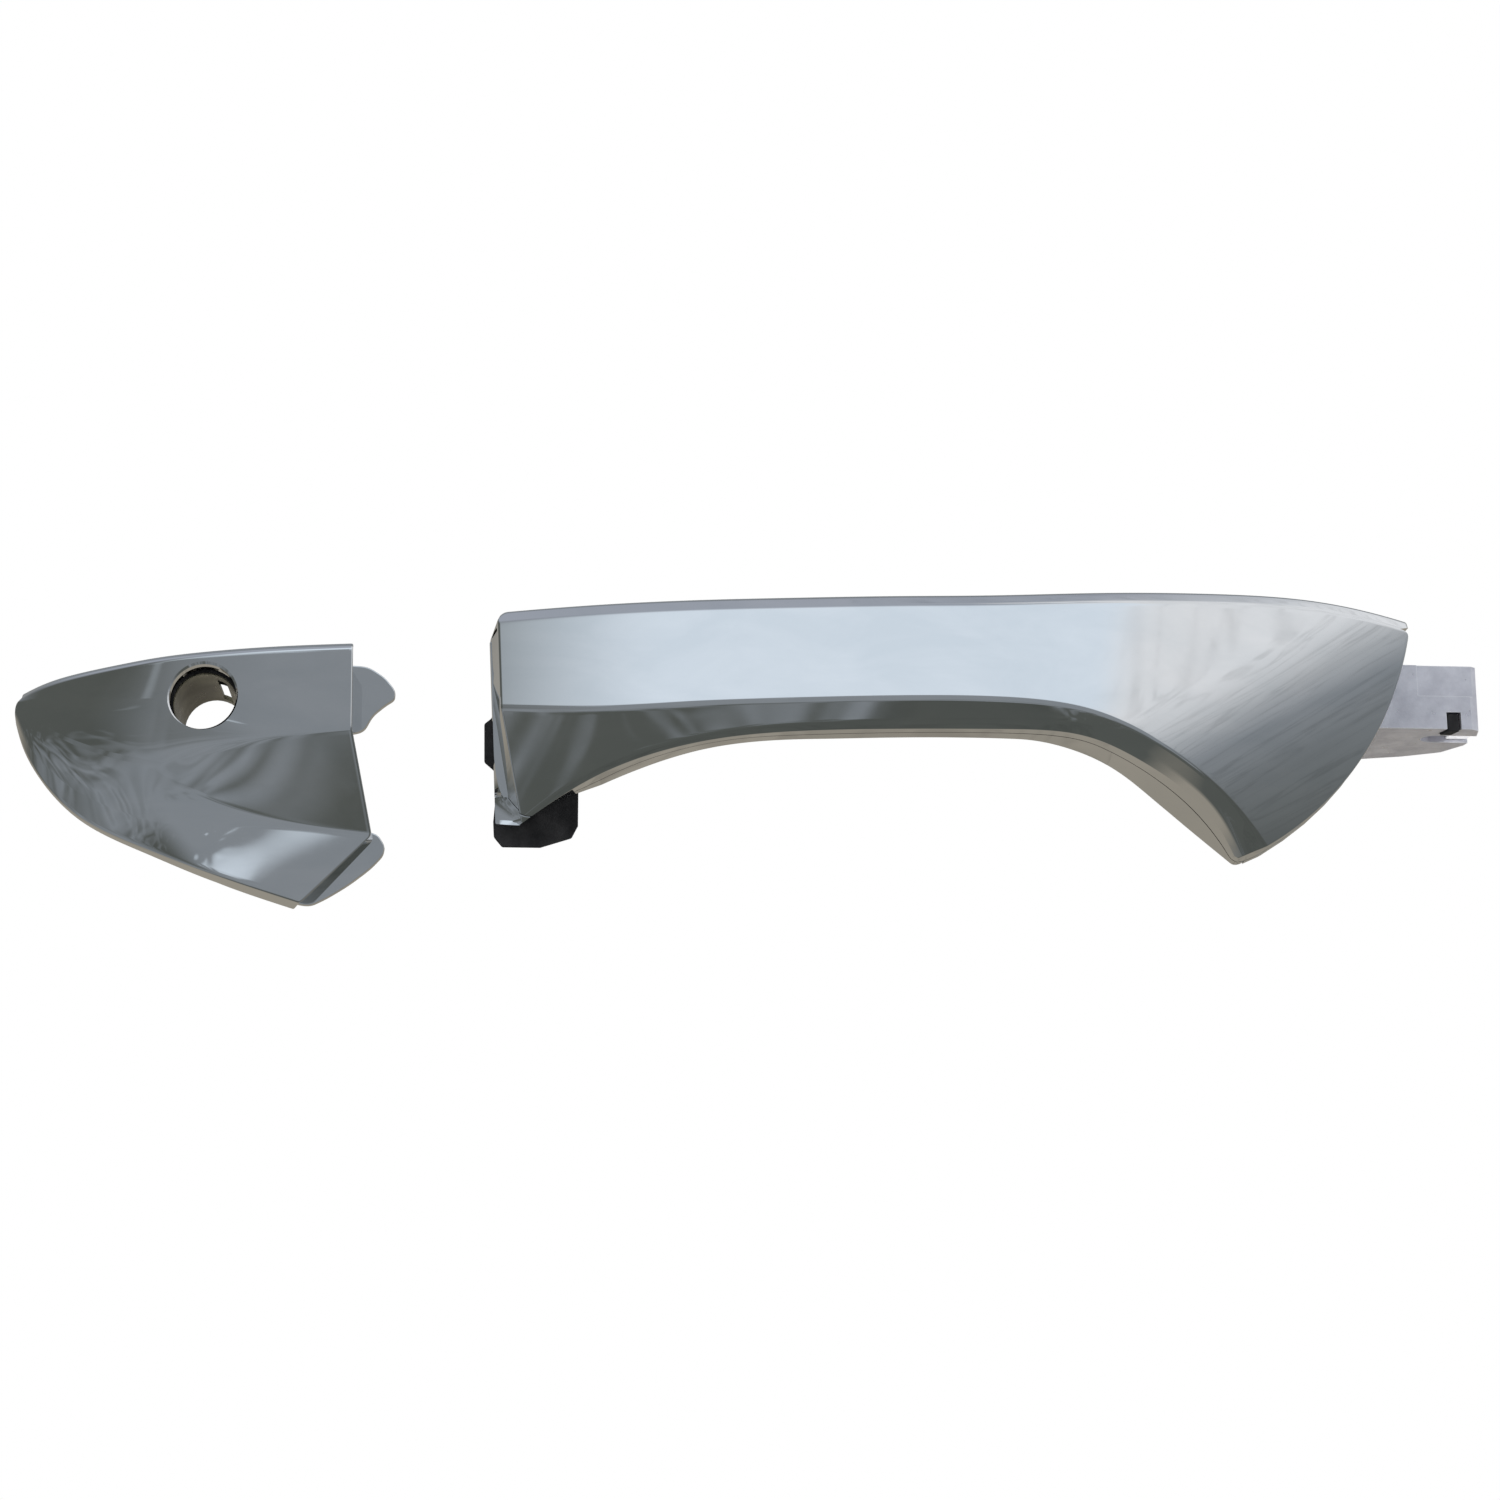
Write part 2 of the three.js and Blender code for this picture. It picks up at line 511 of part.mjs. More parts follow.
function makeCapFrame() {
  const room = skinRings(steps(0.05, 0.965, CAP_COLUMNS).map((u) => capHollowRing(u, WALL + GAP, 6)));
  let frame = prism(capOutline(0.12, 0.9, 4), 'y', CAP_FRAME.y0, CAP_FRAME.y1).intersect(room);
  frame = frame.add(pinAlongY(CAP_POST.radius, CAP_POST.x, CAP_POST.z, CAP_FRAME.y0, CAP_POST.tip));
  frame = frame.subtract(pinAlongY(CAP_POST.bore + GAP, CAP_POST.x, CAP_POST.z, CAP_POST.tip - 9, 30));
  frame = frame.subtract(pinAlongY(KEY_HOLE.radius + 1.4, KEY_HOLE.x, KEY_HOLE.z, -30, 20, 40));
  for (const [x, z] of CAP_FRAME.screws) {
    frame = frame.subtract(pinAlongY(SCREW.shank + SCREW.clearance, x, z, -30, 20));
    frame = frame.subtract(pinAlongY(SCREW.head + 0.4, x, z, CAP_FRAME.y1 - 1.6, 20));
  }
  for (const { x, z } of CLIPS) frame = frame.subtract(box([x - 3.3, -30, z - 0.9], [x + 3.3, 20, z + 0.9]));
  return frame;
}

function makeCapScrew(x, z) {
  const seat = CAP_FRAME.y1 - 1.3;
  const tip = CAP_FRAME.y0 - 2.6;
  const profile = [[0, tip], [SCREW.shank, tip + 0.6], [SCREW.shank, seat], [SCREW.head, seat],
    [SCREW.head, seat + 0.7], [SCREW.head * 0.7, seat + 1.1], [0, seat + 1.1]];
  return turnedAlongY(profile, x, z, 18);
}

function makeCapNut() {
  const { bore, tip } = CAP_POST;
  const profile = [[1.6, tip - 8.4], [bore, tip - 8.4], [bore, tip], [bore + 1.3, tip + 0.3],
    [bore + 1.3, tip + 1.2],
    [1.6, tip + 1.2], [1.6, tip - 8.4]];
  return turnedAlongY(profile, CAP_POST.x, CAP_POST.z, 20);
}

// A bent spring strip: root in the frame's slot, barb on the door side.
function makeClip({ x, z }) {
  const t = 0.5;
  const outline = [[-5.9, z - t], [2, z - t], [6, z - 2.6], [9.5, z - 0.4], [9.5, z + 0.6], [6, z - 1.6],
    [2.3, z + t], [-5.9, z + t]];
  return prism(outline, 'x', x - 3, x + 3);
}

function makeLockSleeve() {
  const [inner, outer] = [KEY_HOLE.radius - 0.4, KEY_HOLE.radius + 0.6];
  const profile = [[inner, -13], [outer, -13], [outer, SLEEVE_TIP], [inner, SLEEVE_TIP], [inner, -13]];
  const notch = box([KEY_HOLE.x + 2, -9, 4], [KEY_HOLE.x + 4.2, 8, 14]);
  return turnedAlongY(profile, KEY_HOLE.x, KEY_HOLE.z, 40).subtract(notch);
}

function makeSealRing() {
  const profile = [[7.5, -14.6], [8.3, -14.6], [8.3, -13.4], [7.5, -13.4], [7.5, -14.6]];
  return turnedAlongY(profile, KEY_HOLE.x, KEY_HOLE.z, 40);
}

function makeCapGasket() {
  const outer = prism(capOutline(0.04, 0.955, 0.5), 'y', -PAD_THICKNESS, 0);
  return outer.subtract(prism(capOutline(0.2, 0.93, 4.4), 'y', -9, 9))
    .subtract(pinAlongY(KEY_HOLE.radius + 0.6 + GAP, KEY_HOLE.x, KEY_HOLE.z, -9, 9, 40));
}

// ---- the assembly -------------------------------------------------------------------------------
const handle = new THREE.Group();
handle.add(
  toMesh('grip_outer_shell', makeOuterShell(), 'chrome'),
  toMesh('grip_inner_shell', makeInnerShell(), 'chrome'),
  toMesh('end_plate', makeEndPlate(), 'chrome'),
  toMesh('carrier_bar', makeCarrierBar(), 'zinc'),
  toMesh('hinge_arm', makeHingeArm(), 'zinc'),
  toMesh('hinge_bush', makeHingeBush(), 'nylon'),
  toMesh('arm_damper', makeArmDamper(), 'rubber'),
  toMesh('latch_leg', makeLatchLeg(), 'steel'),
  toMesh('leg_wear_pad', makeWearPad(), 'nylon'),
  toMesh('leg_stop_rubber', makeLegStopRubber(), 'rubber'),
);
SHELL_SCREWS.forEach(([x, z], i) => {
  handle.add(toMesh(`shell_screw_${i + 1}`, makeShellScrew(x, z), 'steel'));
});

const cap = new THREE.Group();
cap.add(
  toMesh('cap_shell', makeCapShell(), 'chrome'),
  toMesh('cap_frame', makeCapFrame(), 'blackPlastic'),
  toMesh('lock_sleeve', makeLockSleeve(), 'blackPlastic'),
  toMesh('key_hole_seal', makeSealRing(), 'rubber'),
  toMesh('cap_gasket', makeCapGasket(), 'rubber'),
  toMesh('cap_nut', makeCapNut(), 'brass'),
);
CLIPS.forEach((clip) => cap.add(toMesh(clip.name, makeClip(clip), 'steel')));
CAP_FRAME.screws.forEach(([x, z], i) => {
  cap.add(toMesh(`cap_frame_screw_${i + 1}`, makeCapScrew(x, z), 'steel'));
});

const doorPads = new THREE.Group();
doorPads.add(
  toMesh('front_gasket', makeFrontGasket(), 'rubber'),
  toMesh('rear_gasket', makeRearGasket(), 'rubber'),
);

const part = new THREE.Group();
part.add(handle, cap, doorPads);
export default part;
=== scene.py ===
"""Looks of a car's outside door handle and of its rear cap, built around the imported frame.

The sections of both mouldings are worked out in millimetres and become metres when a mesh is made.
+X points to the front of the car, +Y into the door, +Z up, and y = 0 is the outer skin of the door.
"""
import math

import bmesh
import bpy
import numpy as np
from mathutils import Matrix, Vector


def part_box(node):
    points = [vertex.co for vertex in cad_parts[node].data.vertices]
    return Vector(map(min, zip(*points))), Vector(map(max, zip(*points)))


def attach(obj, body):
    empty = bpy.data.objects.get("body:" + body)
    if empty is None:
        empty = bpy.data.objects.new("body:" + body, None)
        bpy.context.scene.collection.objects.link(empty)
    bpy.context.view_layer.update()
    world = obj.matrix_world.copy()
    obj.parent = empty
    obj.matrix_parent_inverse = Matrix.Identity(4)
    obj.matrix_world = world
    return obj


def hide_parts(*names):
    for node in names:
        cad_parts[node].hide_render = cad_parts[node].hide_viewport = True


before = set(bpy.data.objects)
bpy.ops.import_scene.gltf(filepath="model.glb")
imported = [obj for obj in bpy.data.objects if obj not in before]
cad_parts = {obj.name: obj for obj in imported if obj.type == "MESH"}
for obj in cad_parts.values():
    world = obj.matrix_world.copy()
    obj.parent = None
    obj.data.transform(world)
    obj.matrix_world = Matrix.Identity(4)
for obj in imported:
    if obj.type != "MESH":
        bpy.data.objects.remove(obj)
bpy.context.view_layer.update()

MM = 0.001
OPEN_AIR = 80.0                    # how far cutters reach past what they cut, in mm

# ---- driving dimensions of the mouldings, in mm ---------------------------------------------------
WALL = 2.2
PARTING_GAP = 0.35
GRIP_BEVEL = (1.9, 3.0)            # depth and height of the band above the grip's upper face
BOW_X, BOW_Y = -92.0, 34.5
REAR_BASE_Y, FRONT_BASE_Y, GRIP_BACK_Y = -4.0, -2.6, -18.5
END_RAKE, FOOT_RAKE, VALLEY_RAKE = 2.0, 6.8, 7.8
CORNER_RADIUS = 2.6               # rounding of the rear end's upper corner, seen from the front
FRONT_EDGE_SAGITTA = 7.5
CAP_BACK_Y = -1.55
CAP_BEVEL = 1.3
KEY_HOLE = {"x": -254.2, "z": 0.3, "radius": 7.8, "chamfer": 0.55}

# Stations along the handle, rear end first: the two edges of the upper face (x, z), the lower edge
# of the lower face and the edge below it (x, y, z), and the lower edge on the door side (x, z).
GRIP = [
    {"face": (-186.7, 19.6), "crease": (-185.6, -2.1), "lip": (-180.6, -5.6, -24.6),
     "sole": (-180.4, -4.8, -25.3), "foot": (-179.6, -25.4)},
    {"face": (-163, 20.7), "crease": (-162.6, -3.1), "lip": (-162.2, -18, -14.4),
     "sole": (-161.8, -16, -15.4), "foot": (-161.6, -15.6)},
    {"face": (-139.6, 21.4), "crease": (-139.7, -2.2), "lip": (-139.3, -26.5, -8.6),
     "sole": (-139.2, -24.4, -9.5), "foot": (-138.8, -8.5)},
    {"face": (-116.4, 21.9), "crease": (-116.7, -1.4), "lip": (-116.4, -30, -6.2),
     "sole": (-116.3, -28, -7.4), "foot": (-115.5, -7)},
    {"face": (-93, 22.6), "crease": (-93.7, -0.7), "lip": (-93.3, -30.5, -5.4),
     "sole": (-93.1, -28.5, -6.6), "foot": (-92, -6.2)},
    {"face": (-69.4, 23.5), "crease": (-70.4, -0.4), "lip": (-69.9, -30.3, -4.8),
     "sole": (-69.6, -28, -6.1), "foot": (-68.2, -6)},
    {"face": (-43, 25.3), "crease": (-49.5, -2.5), "lip": (-51, -29.8, -5.2),
     "sole": (-51, -27, -6.8), "foot": (-52, -7)},
    {"face": (-16, 26.7), "crease": (-32.8, -9.8), "lip": (-34.7, -26.5, -10.9),
     "sole": (-35.7, -23, -11.9), "foot": (-37, -11)},
    {"face": (9, 26.8), "crease": (-17.3, -19.4), "lip": (-18.8, -20, -21.2),
     "sole": (-20.4, -16.8, -21), "foot": (-23, -21.6)},
    {"face": (33.4, 23.9), "crease": (-3.9, -30.2), "lip": (-8.6, -11.5, -32),
     "sole": (-10.6, -8, -32.6), "foot": (-9.6, -32.8)},
]
PART_LINE = [(-200, -7), (-184, -7), (-170, -7), (-154, -14.5), (-138, -20.5), (-112, -24), (-60, -24),
             (-42, -20), (-24, -13.5), (-13, -7.6), (0, -5.2), (60, -5.2)]

# Stations along the cap, nose first: top edge, ridge, valley and bottom edge.
CAP = [
    {"top": (-297.9, -6.2, 3.8), "ridge": (-299, -7.6, 1.5), "valley": (-299.4, -7.2, -0.5),
     "rim": (-299, -5.6, -3.4)},
    {"top": (-288.5, -11.6, 6.5), "ridge": (-291, -13.2, -2), "valley": (-293.5, -10.6, -8.5),
     "rim": (-295, -5.4, -13)},
    {"top": (-274, -16, 9), "ridge": (-277, -17.6, -6), "valley": (-281, -12.6, -17),
     "rim": (-284, -6, -25)},
    {"top": (-260, -18.8, 10.9), "ridge": (-262, -20.4, -8.5), "valley": (-265, -13, -22),
     "rim": (-268, -8, -33)},
    {"top": (-240, -20.9, 12.5), "ridge": (-243, -22.6, -9.2), "valley": (-243.5, -9.9, -26),
     "rim": (-251, -11.6, -39.8)},
    {"top": (-219.9, -22.2, 13.4), "ridge": (-219.5, -24, -7.5), "valley": (-215.2, -7, -28.9),
     "rim": (-231, -10, -45.9)},
]
TONGUES = [
    [(-223, 13.2), (-217.5, 13), (-213.4, 10.4), (-210.8, 7.2), (-210.9, 5), (-213, 3.6), (-216, 1),
     (-218, -3), (-223, -4)],
    [(-228, -26), (-214.4, -27.4), (-212.2, -30.6), (-212.6, -33), (-215.5, -36.2), (-220.5, -40.2),
     (-225.5, -43.4), (-229.5, -45.4), (-236, -44), (-232, -36)],
]
TONGUE_Y = (-3.6, CAP_BACK_Y)
# The two rounded corners of the grip's front end: place, both edges' directions, length rounded.
FRONT_CORNERS = [((33.5, 23.9), (-24.4, 2.9), (-5, -14), 3.0), ((-9.6, -32.8), (-13.4, 11.2), (9, 6), 2.2)]
SHELL_SCREWS = [(-165, 12), (-20, 12), (-4, 12)]


# ---- curves and sections --------------------------------------------------------------------------
class Rail:
    """A curve of even curvature through points; u runs from 0 to 1, counted in points."""

    def __init__(self, points):
        self.points = np.array(points, float)
        count = len(self.points)
        matrix = np.eye(count)
        rise = np.zeros_like(self.points)
        for i in range(1, count - 1):
            matrix[i, i - 1:i + 2] = (1, 4, 1)
            rise[i] = 6 * (self.points[i + 1] - 2 * self.points[i] + self.points[i - 1])
        self.bend = np.linalg.solve(matrix, rise)

    def at(self, u):
        place = min(max(u, 0.0), 1.0) * (len(self.points) - 1)
        i = min(int(place), len(self.points) - 2)
        t = place - i
        s = 1 - t
        p, m = self.points, self.bend
        return s * p[i] + t * p[i + 1] + (s ** 3 - s) * m[i] / 6 + (t ** 3 - t) * m[i + 1] / 6


def smoothstep(x, low, high):
    t = np.clip((x - low) / (high - low), 0, 1)
    return t * t * (3 - 2 * t)


def mix(a, b, t):
    return a + (b - a) * t


def length_of(line):
    return np.linalg.norm(np.diff(line, axis=0), axis=1).sum()


def along(line, fractions):
    """Points at the given fractions of a line's length."""
    reach = np.concatenate([[0], np.cumsum(np.linalg.norm(np.diff(line, axis=0), axis=1))])
    return np.stack([np.interp(fractions * reach[-1], reach, line[:, k]) for k in range(3)], axis=1)


def arc_between(a, corner, b, count):
    """Inner points of a rounding that leaves a and meets b, pulled towards the corner."""
    t = np.linspace(0, 1, count + 2)[1:-1, None]
    return (1 - t) ** 2 * a + 2 * t * (1 - t) * corner + t ** 2 * b


ARC_POINTS = 5


def rounded_section(sides, counts, trims):
    """A closed section. Side i meets side i + 1 in a rounding that takes trims[i] off each of them."""
    trimmed = []
    for i, side in enumerate(sides):
        length = length_of(side)
        start = min(trims[i - 1], 0.45 * length) / length
        end = 1 - min(trims[i], 0.45 * length) / length
        trimmed.append(along(side, np.linspace(start, end, counts[i])))
    parts = []
    for i, side in enumerate(trimmed):
        following = trimmed[(i + 1) % len(trimmed)]
        parts += [side, arc_between(side[-1], sides[i][-1], following[0], ARC_POINTS)]
    return np.concatenate(parts)


def face_depth(x, z):
    """Depth of the grip's upper face: a bow that leans back and rolls inwards over the front flare."""
    reach = x - BOW_X
    sink = np.where(reach < 0, 10.5 * (reach / 94) ** 2, 0.00104 * reach ** 2)
    roll = np.maximum(0, 0.5 * x - 0.866 * z + 18)
    return -BOW_Y + sink + 0.14 * (z + 2) + 0.0125 * roll ** 3 / (roll + 10)


def back_depth(x):
    """Door side of the grip: two feet and the finger arch between them."""
    rise = smoothstep(x, -170, -112)
    fall = 1 - smoothstep(x, -64, -27)
    foot = REAR_BASE_Y if x < BOW_X else FRONT_BASE_Y
    return mix(foot, GRIP_BACK_Y, rise * fall)


GRIP_RAIL = {
    "face": Rail([(s["face"][0], 0, s["face"][1]) for s in GRIP]),
    "crease": Rail([(s["crease"][0], face_depth(*s["crease"]), s["crease"][1]) for s in GRIP]),
    "lip": Rail([s["lip"] for s in GRIP]),
    "sole": Rail([s["sole"] for s in GRIP]),
    "foot": Rail([(s["foot"][0], 0, s["foot"][1]) for s in GRIP]),
}


def face_line(u, count=41):
    """The upper face at u, from the band above it down to the crease."""
    v = np.linspace(0, 1, count)[:, None]
    line = mix(GRIP_RAIL["face"].at(u), GRIP_RAIL["crease"].at(u), v)
    across = GRIP_RAIL["crease"].at(1) - GRIP_RAIL["face"].at(1)
    outward = np.array([-across[2], 0, across[0]])
    line = line + outward / np.linalg.norm(outward) * FRONT_EDGE_SAGITTA * 4 * v * (1 - v) * u ** 6
    line[:, 1] = face_depth(line[:, 0], line[:, 2])
    return line


def rear_reach(u, stations):
    """1 at the rear end, fading to 0 at the next station."""
    return max(0.0, 1 - (stations - 1) * u)


def grip_section(u):
    face = face_line(u)
    crease = face[-1]
    from_end = (face[0][0] - GRIP_RAIL["face"].at(0)[0]) / CORNER_RADIUS
    rounding = math.sqrt(max(0.03, 1 - max(0.0, 1 - from_end) ** 2))
    top = face[0] + np.array([0, *GRIP_BEVEL]) * rounding
    lip, sole, foot = (GRIP_RAIL[k].at(u) for k in ("lip", "sole", "foot"))
    foot[1] = back_depth(foot[0])
    back = face[::-4].copy()
    back[:, 1] = [back_depth(x) for x in back[:, 0]]
    top_back = np.array([top[0], back_depth(top[0]), top[2] - 0.5])
    rake = rear_reach(u, len(GRIP))
    foot[0] -= FOOT_RAKE * rake
    back[:, 0] -= END_RAKE * rake
    top_back[0] -= END_RAKE * rake
    sides = [np.array([top, face[0]]), face, np.array([crease, lip]), np.array([lip, sole]),
             np.array([sole, foot]), np.vstack([foot, back, top_back]), np.array([top_back, top])]
    soft = mix(1.0, 0.75, smoothstep(u, 0.0, 0.3))
    edge = mix(0.5, 1.3, smoothstep(u, 0.85, 1.0))
    return sides, [0.7, soft, 0.8 * edge + 0.3, 0.5 * edge, 0.6, 0.6, 1.1]


GRIP_COUNTS = [4, 44, 22, 4, 14, 0, 14]

CAP_RAIL = {k: Rail([s[k] for s in CAP]) for k in ("top", "ridge", "valley", "rim")}


def cap_section(u):
    top, ridge, valley, rim = (CAP_RAIL[k].at(u) for k in ("top", "ridge", "valley", "rim"))
    bevel = top + (0, -CAP_BEVEL, -CAP_BEVEL)
    back = np.array([rim, valley, ridge, top])
    back[:, 1] = CAP_BACK_Y
    back[:, 0] -= np.array([END_RAKE, VALLEY_RAKE, END_RAKE, END_RAKE]) * rear_reach(1 - u, len(CAP))
    sides = [np.array([top, bevel]), np.array([bevel, ridge]), np.array([ridge, valley]),
             np.array([valley, rim]), np.array([rim, back[0]]), back, np.array([back[-1], top])]
    ridge_trim = mix(9.0, 0.7, smoothstep(u, 0.45, 0.93))
    valley_trim = mix(9.0, 0.8, smoothstep(u, 0.35, 0.95))
    return sides, [0.6, ridge_trim, valley_trim, 1.0, 0.5, 0.4, 0.7]


CAP_COUNTS = [3, 30, 26, 24, 8, 0, 8]


def skin_columns(section, counts, us):
    """Rings of a closed skin. The door side has as many points as the front, so that ends close as grids."""
    front = sum(counts[:4]) + 3 * ARC_POINTS
    full = counts[:5] + [front] + counts[6:]
    rings = []
    for u in us:
        sides, trims = section(u)
        rings.append(rounded_section(sides, full, trims))
    return np.array(rings), front


def rounded_end(ring, inner, radius, steps=5):
    """Rings of a rounding between the sides and the end wall; inner is a ring a little further in."""
    outward = ring - inner
    outward /= np.linalg.norm(outward, axis=1)[:, None]
    tangent = np.roll(ring, -1, axis=0) - np.roll(ring, 1, axis=0)
    normal = np.cross(outward, tangent)
    normal /= np.linalg.norm(normal, axis=1)[:, None]
    if ((ring - ring.mean(axis=0)) * normal).sum() < 0:
        normal = -normal
    turns = np.linspace(0, math.pi / 2, steps + 1)
    return [ring - outward * radius * (1 - math.sin(a)) - normal * radius * (1 - math.cos(a)) for a in turns]


def end_wall(ring, front, start):
    """Grid that closes an end: front points pair with door-side points. Returns extra points and faces."""
    count = len(ring)
    cross = (count - 2 * front) // 2
    back = ring[front + cross:2 * front + cross][::-1]
    left = ring[2 * front + cross:][::-1]
    row = np.vstack([ring[0], left, back[0]])
    reach = np.concatenate([[0], np.cumsum(np.linalg.norm(np.diff(row, axis=0), axis=1))])
    share = (reach / reach[-1])[1:-1]
    extra = []
    index = np.zeros((front, cross + 2), int)
    index[:, 0] = range(front)
    index[:, -1] = [2 * front + cross - 1 - j for j in range(front)]
    index[0, 1:-1] = [count - 1 - k for k in range(cross)]
    index[-1, 1:-1] = [front + k for k in range(cross)]
    for j in range(1, front - 1):
        for k in range(cross):
            index[j, k + 1] = count + len(extra)
            extra.append(mix(ring[j], back[j], share[k]))
    ring_at = lambda n: start[0] + n if n < count else start[1] + n - count
    faces = []
    for j in range(front - 1):
        for k in range(cross + 1):
            corners = (index[j, k], index[j, k + 1], index[j + 1, k + 1], index[j + 1, k])
            faces.append([ring_at(int(n)) for n in corners])
    return extra, faces


def skin_mesh(name, rings, front):
    """A closed skin over rings, with a grid wall at either end."""
    count = rings.shape[1]
    points = list(rings.reshape(-1, 3))
    faces = []
    for i in range(len(rings) - 1):
        for j in range(count):
            a, b = i * count + j, i * count + (j + 1) % count
            faces.append([a, b, b + count, a + count])
    for ring, base in ((rings[0], 0), (rings[-1], (len(rings) - 1) * count)):
        extra, wall = end_wall(ring, front, (base, len(points)))
        points += extra
        faces += wall
    return solid(name, points, faces)


# ---- meshes ---------------------------------------------------------------------------------------
def solid(name, points, faces):
    """An object from points in mm, with its faces pointing out."""
    mesh = bpy.data.meshes.new(name)
    mesh.from_pydata((np.array(points) * MM).tolist(), [], faces)
    work = bmesh.new()
    work.from_mesh(mesh)
    bmesh.ops.remove_doubles(work, verts=work.verts, dist=1e-7)
    bmesh.ops.recalc_face_normals(work, faces=work.faces)
    work.to_mesh(mesh)
    work.free()
    obj = bpy.data.objects.new(name, mesh)
    bpy.context.scene.collection.objects.link(obj)
    return obj


def prism(outline, axis, low, high, name="cutter"):
    """An outline extruded along Y or Z; the outline is (x, z) for Y and (x, y) for Z."""
    if axis == "y":
        place = lambda p, h: (p[0], h, p[1])
    else:
        place = lambda p, h: (p[0], p[1], h)
    count = len(outline)
    points = [place(p, h) for h in (low, high) for p in outline]
    faces = [[i, (i + 1) % count, count + (i + 1) % count, count + i] for i in range(count)]
    faces += [list(range(count)), list(range(count, 2 * count))]
    return solid(name, points, faces)


def block(low, high, name="cutter"):
    outline = [(low[0], low[2]), (high[0], low[2]), (high[0], high[2]), (low[0], high[2])]
    return prism(outline, "y", low[1], high[1], name)


def turned(profile, centre, axis=(0, 1, 0), segments=64, name="cutter", closed=False):
    """A lathe piece: profile is (radius, distance along the axis). A closed profile makes a ring."""
    turn = Vector((0, 0, 1)).rotation_difference(Vector(axis)).to_matrix()
    points, faces = [], []
    rows = len(profile)
    for i in range(segments):
        angle = 2 * math.pi * i / segments
        for radius, reach in profile:
            local = Vector((radius * math.cos(angle), radius * math.sin(angle), reach))
            points.append(tuple(turn @ local + Vector(centre)))
    for i in range(segments):
        j = (i + 1) % segments
        for k in range(rows if closed else rows - 1):
            n = (k + 1) % rows
            faces.append([i * rows + k, i * rows + n, j * rows + n, j * rows + k])
    if not closed:
        faces.append([i * rows for i in range(segments)])
        faces.append([i * rows + rows - 1 for i in range(segments)])
    return solid(name, points, faces)


def settle(obj):
    """Applies the modifiers of an object to its mesh."""
    graph = bpy.context.evaluated_depsgraph_get()
    mesh = bpy.data.meshes.new_from_object(obj.evaluated_get(graph))
    obj.modifiers.clear()
    obj.data = mesh
    return obj


def combine(obj, tool, operation="DIFFERENCE"):
    """Cuts with, joins or intersects another solid, which is then removed."""
    modifier = obj.modifiers.new("join", "BOOLEAN")
    modifier.object = tool
    modifier.operation = operation
    modifier.solver = "MANIFOLD"
    settle(obj)
    bpy.data.objects.remove(tool)
    return obj


def smooth(obj, angle=32):
    obj.data.shade_smooth()
    obj.data.set_sharp_from_angle(angle=math.radians(angle))
    weighted = obj.modifiers.new("normals", "WEIGHTED_NORMAL")
    weighted.keep_sharp = True
    return obj


def place(obj, name, body, slot, look, nodes=()):
    """Names a piece, gives it its material and rides it on a body."""
    obj.name = name
    obj.data.name = name
    obj.data.materials.clear()
    obj.data.materials.append(look)
    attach(obj, body)
    if nodes:
        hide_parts(*nodes)
    return obj


def cad_copy(node):
    """A fresh solid with the CAD node's shape, its flat faces whole."""
    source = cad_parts[node].data
    points = [tuple(v.co / MM) for v in source.vertices]
    obj = solid(node + "_copy", points, [list(p.vertices) for p in source.polygons])
    work = bmesh.new()
    work.from_mesh(obj.data)
    bmesh.ops.dissolve_limit(work, angle_limit=math.radians(0.6), verts=work.verts, edges=work.edges)
    work.to_mesh(obj.data)
    work.free()
    return obj


def eased(obj, radius, segments=3, angle=28):
    """Rounds the edges of a hard piece."""
    bevel = obj.modifiers.new("edges", "BEVEL")
    bevel.width = radius * MM
    bevel.segments = segments
    bevel.limit_method = "ANGLE"
    bevel.angle_limit = math.radians(angle)
    bevel.use_clamp_overlap = True
    return settle(obj)


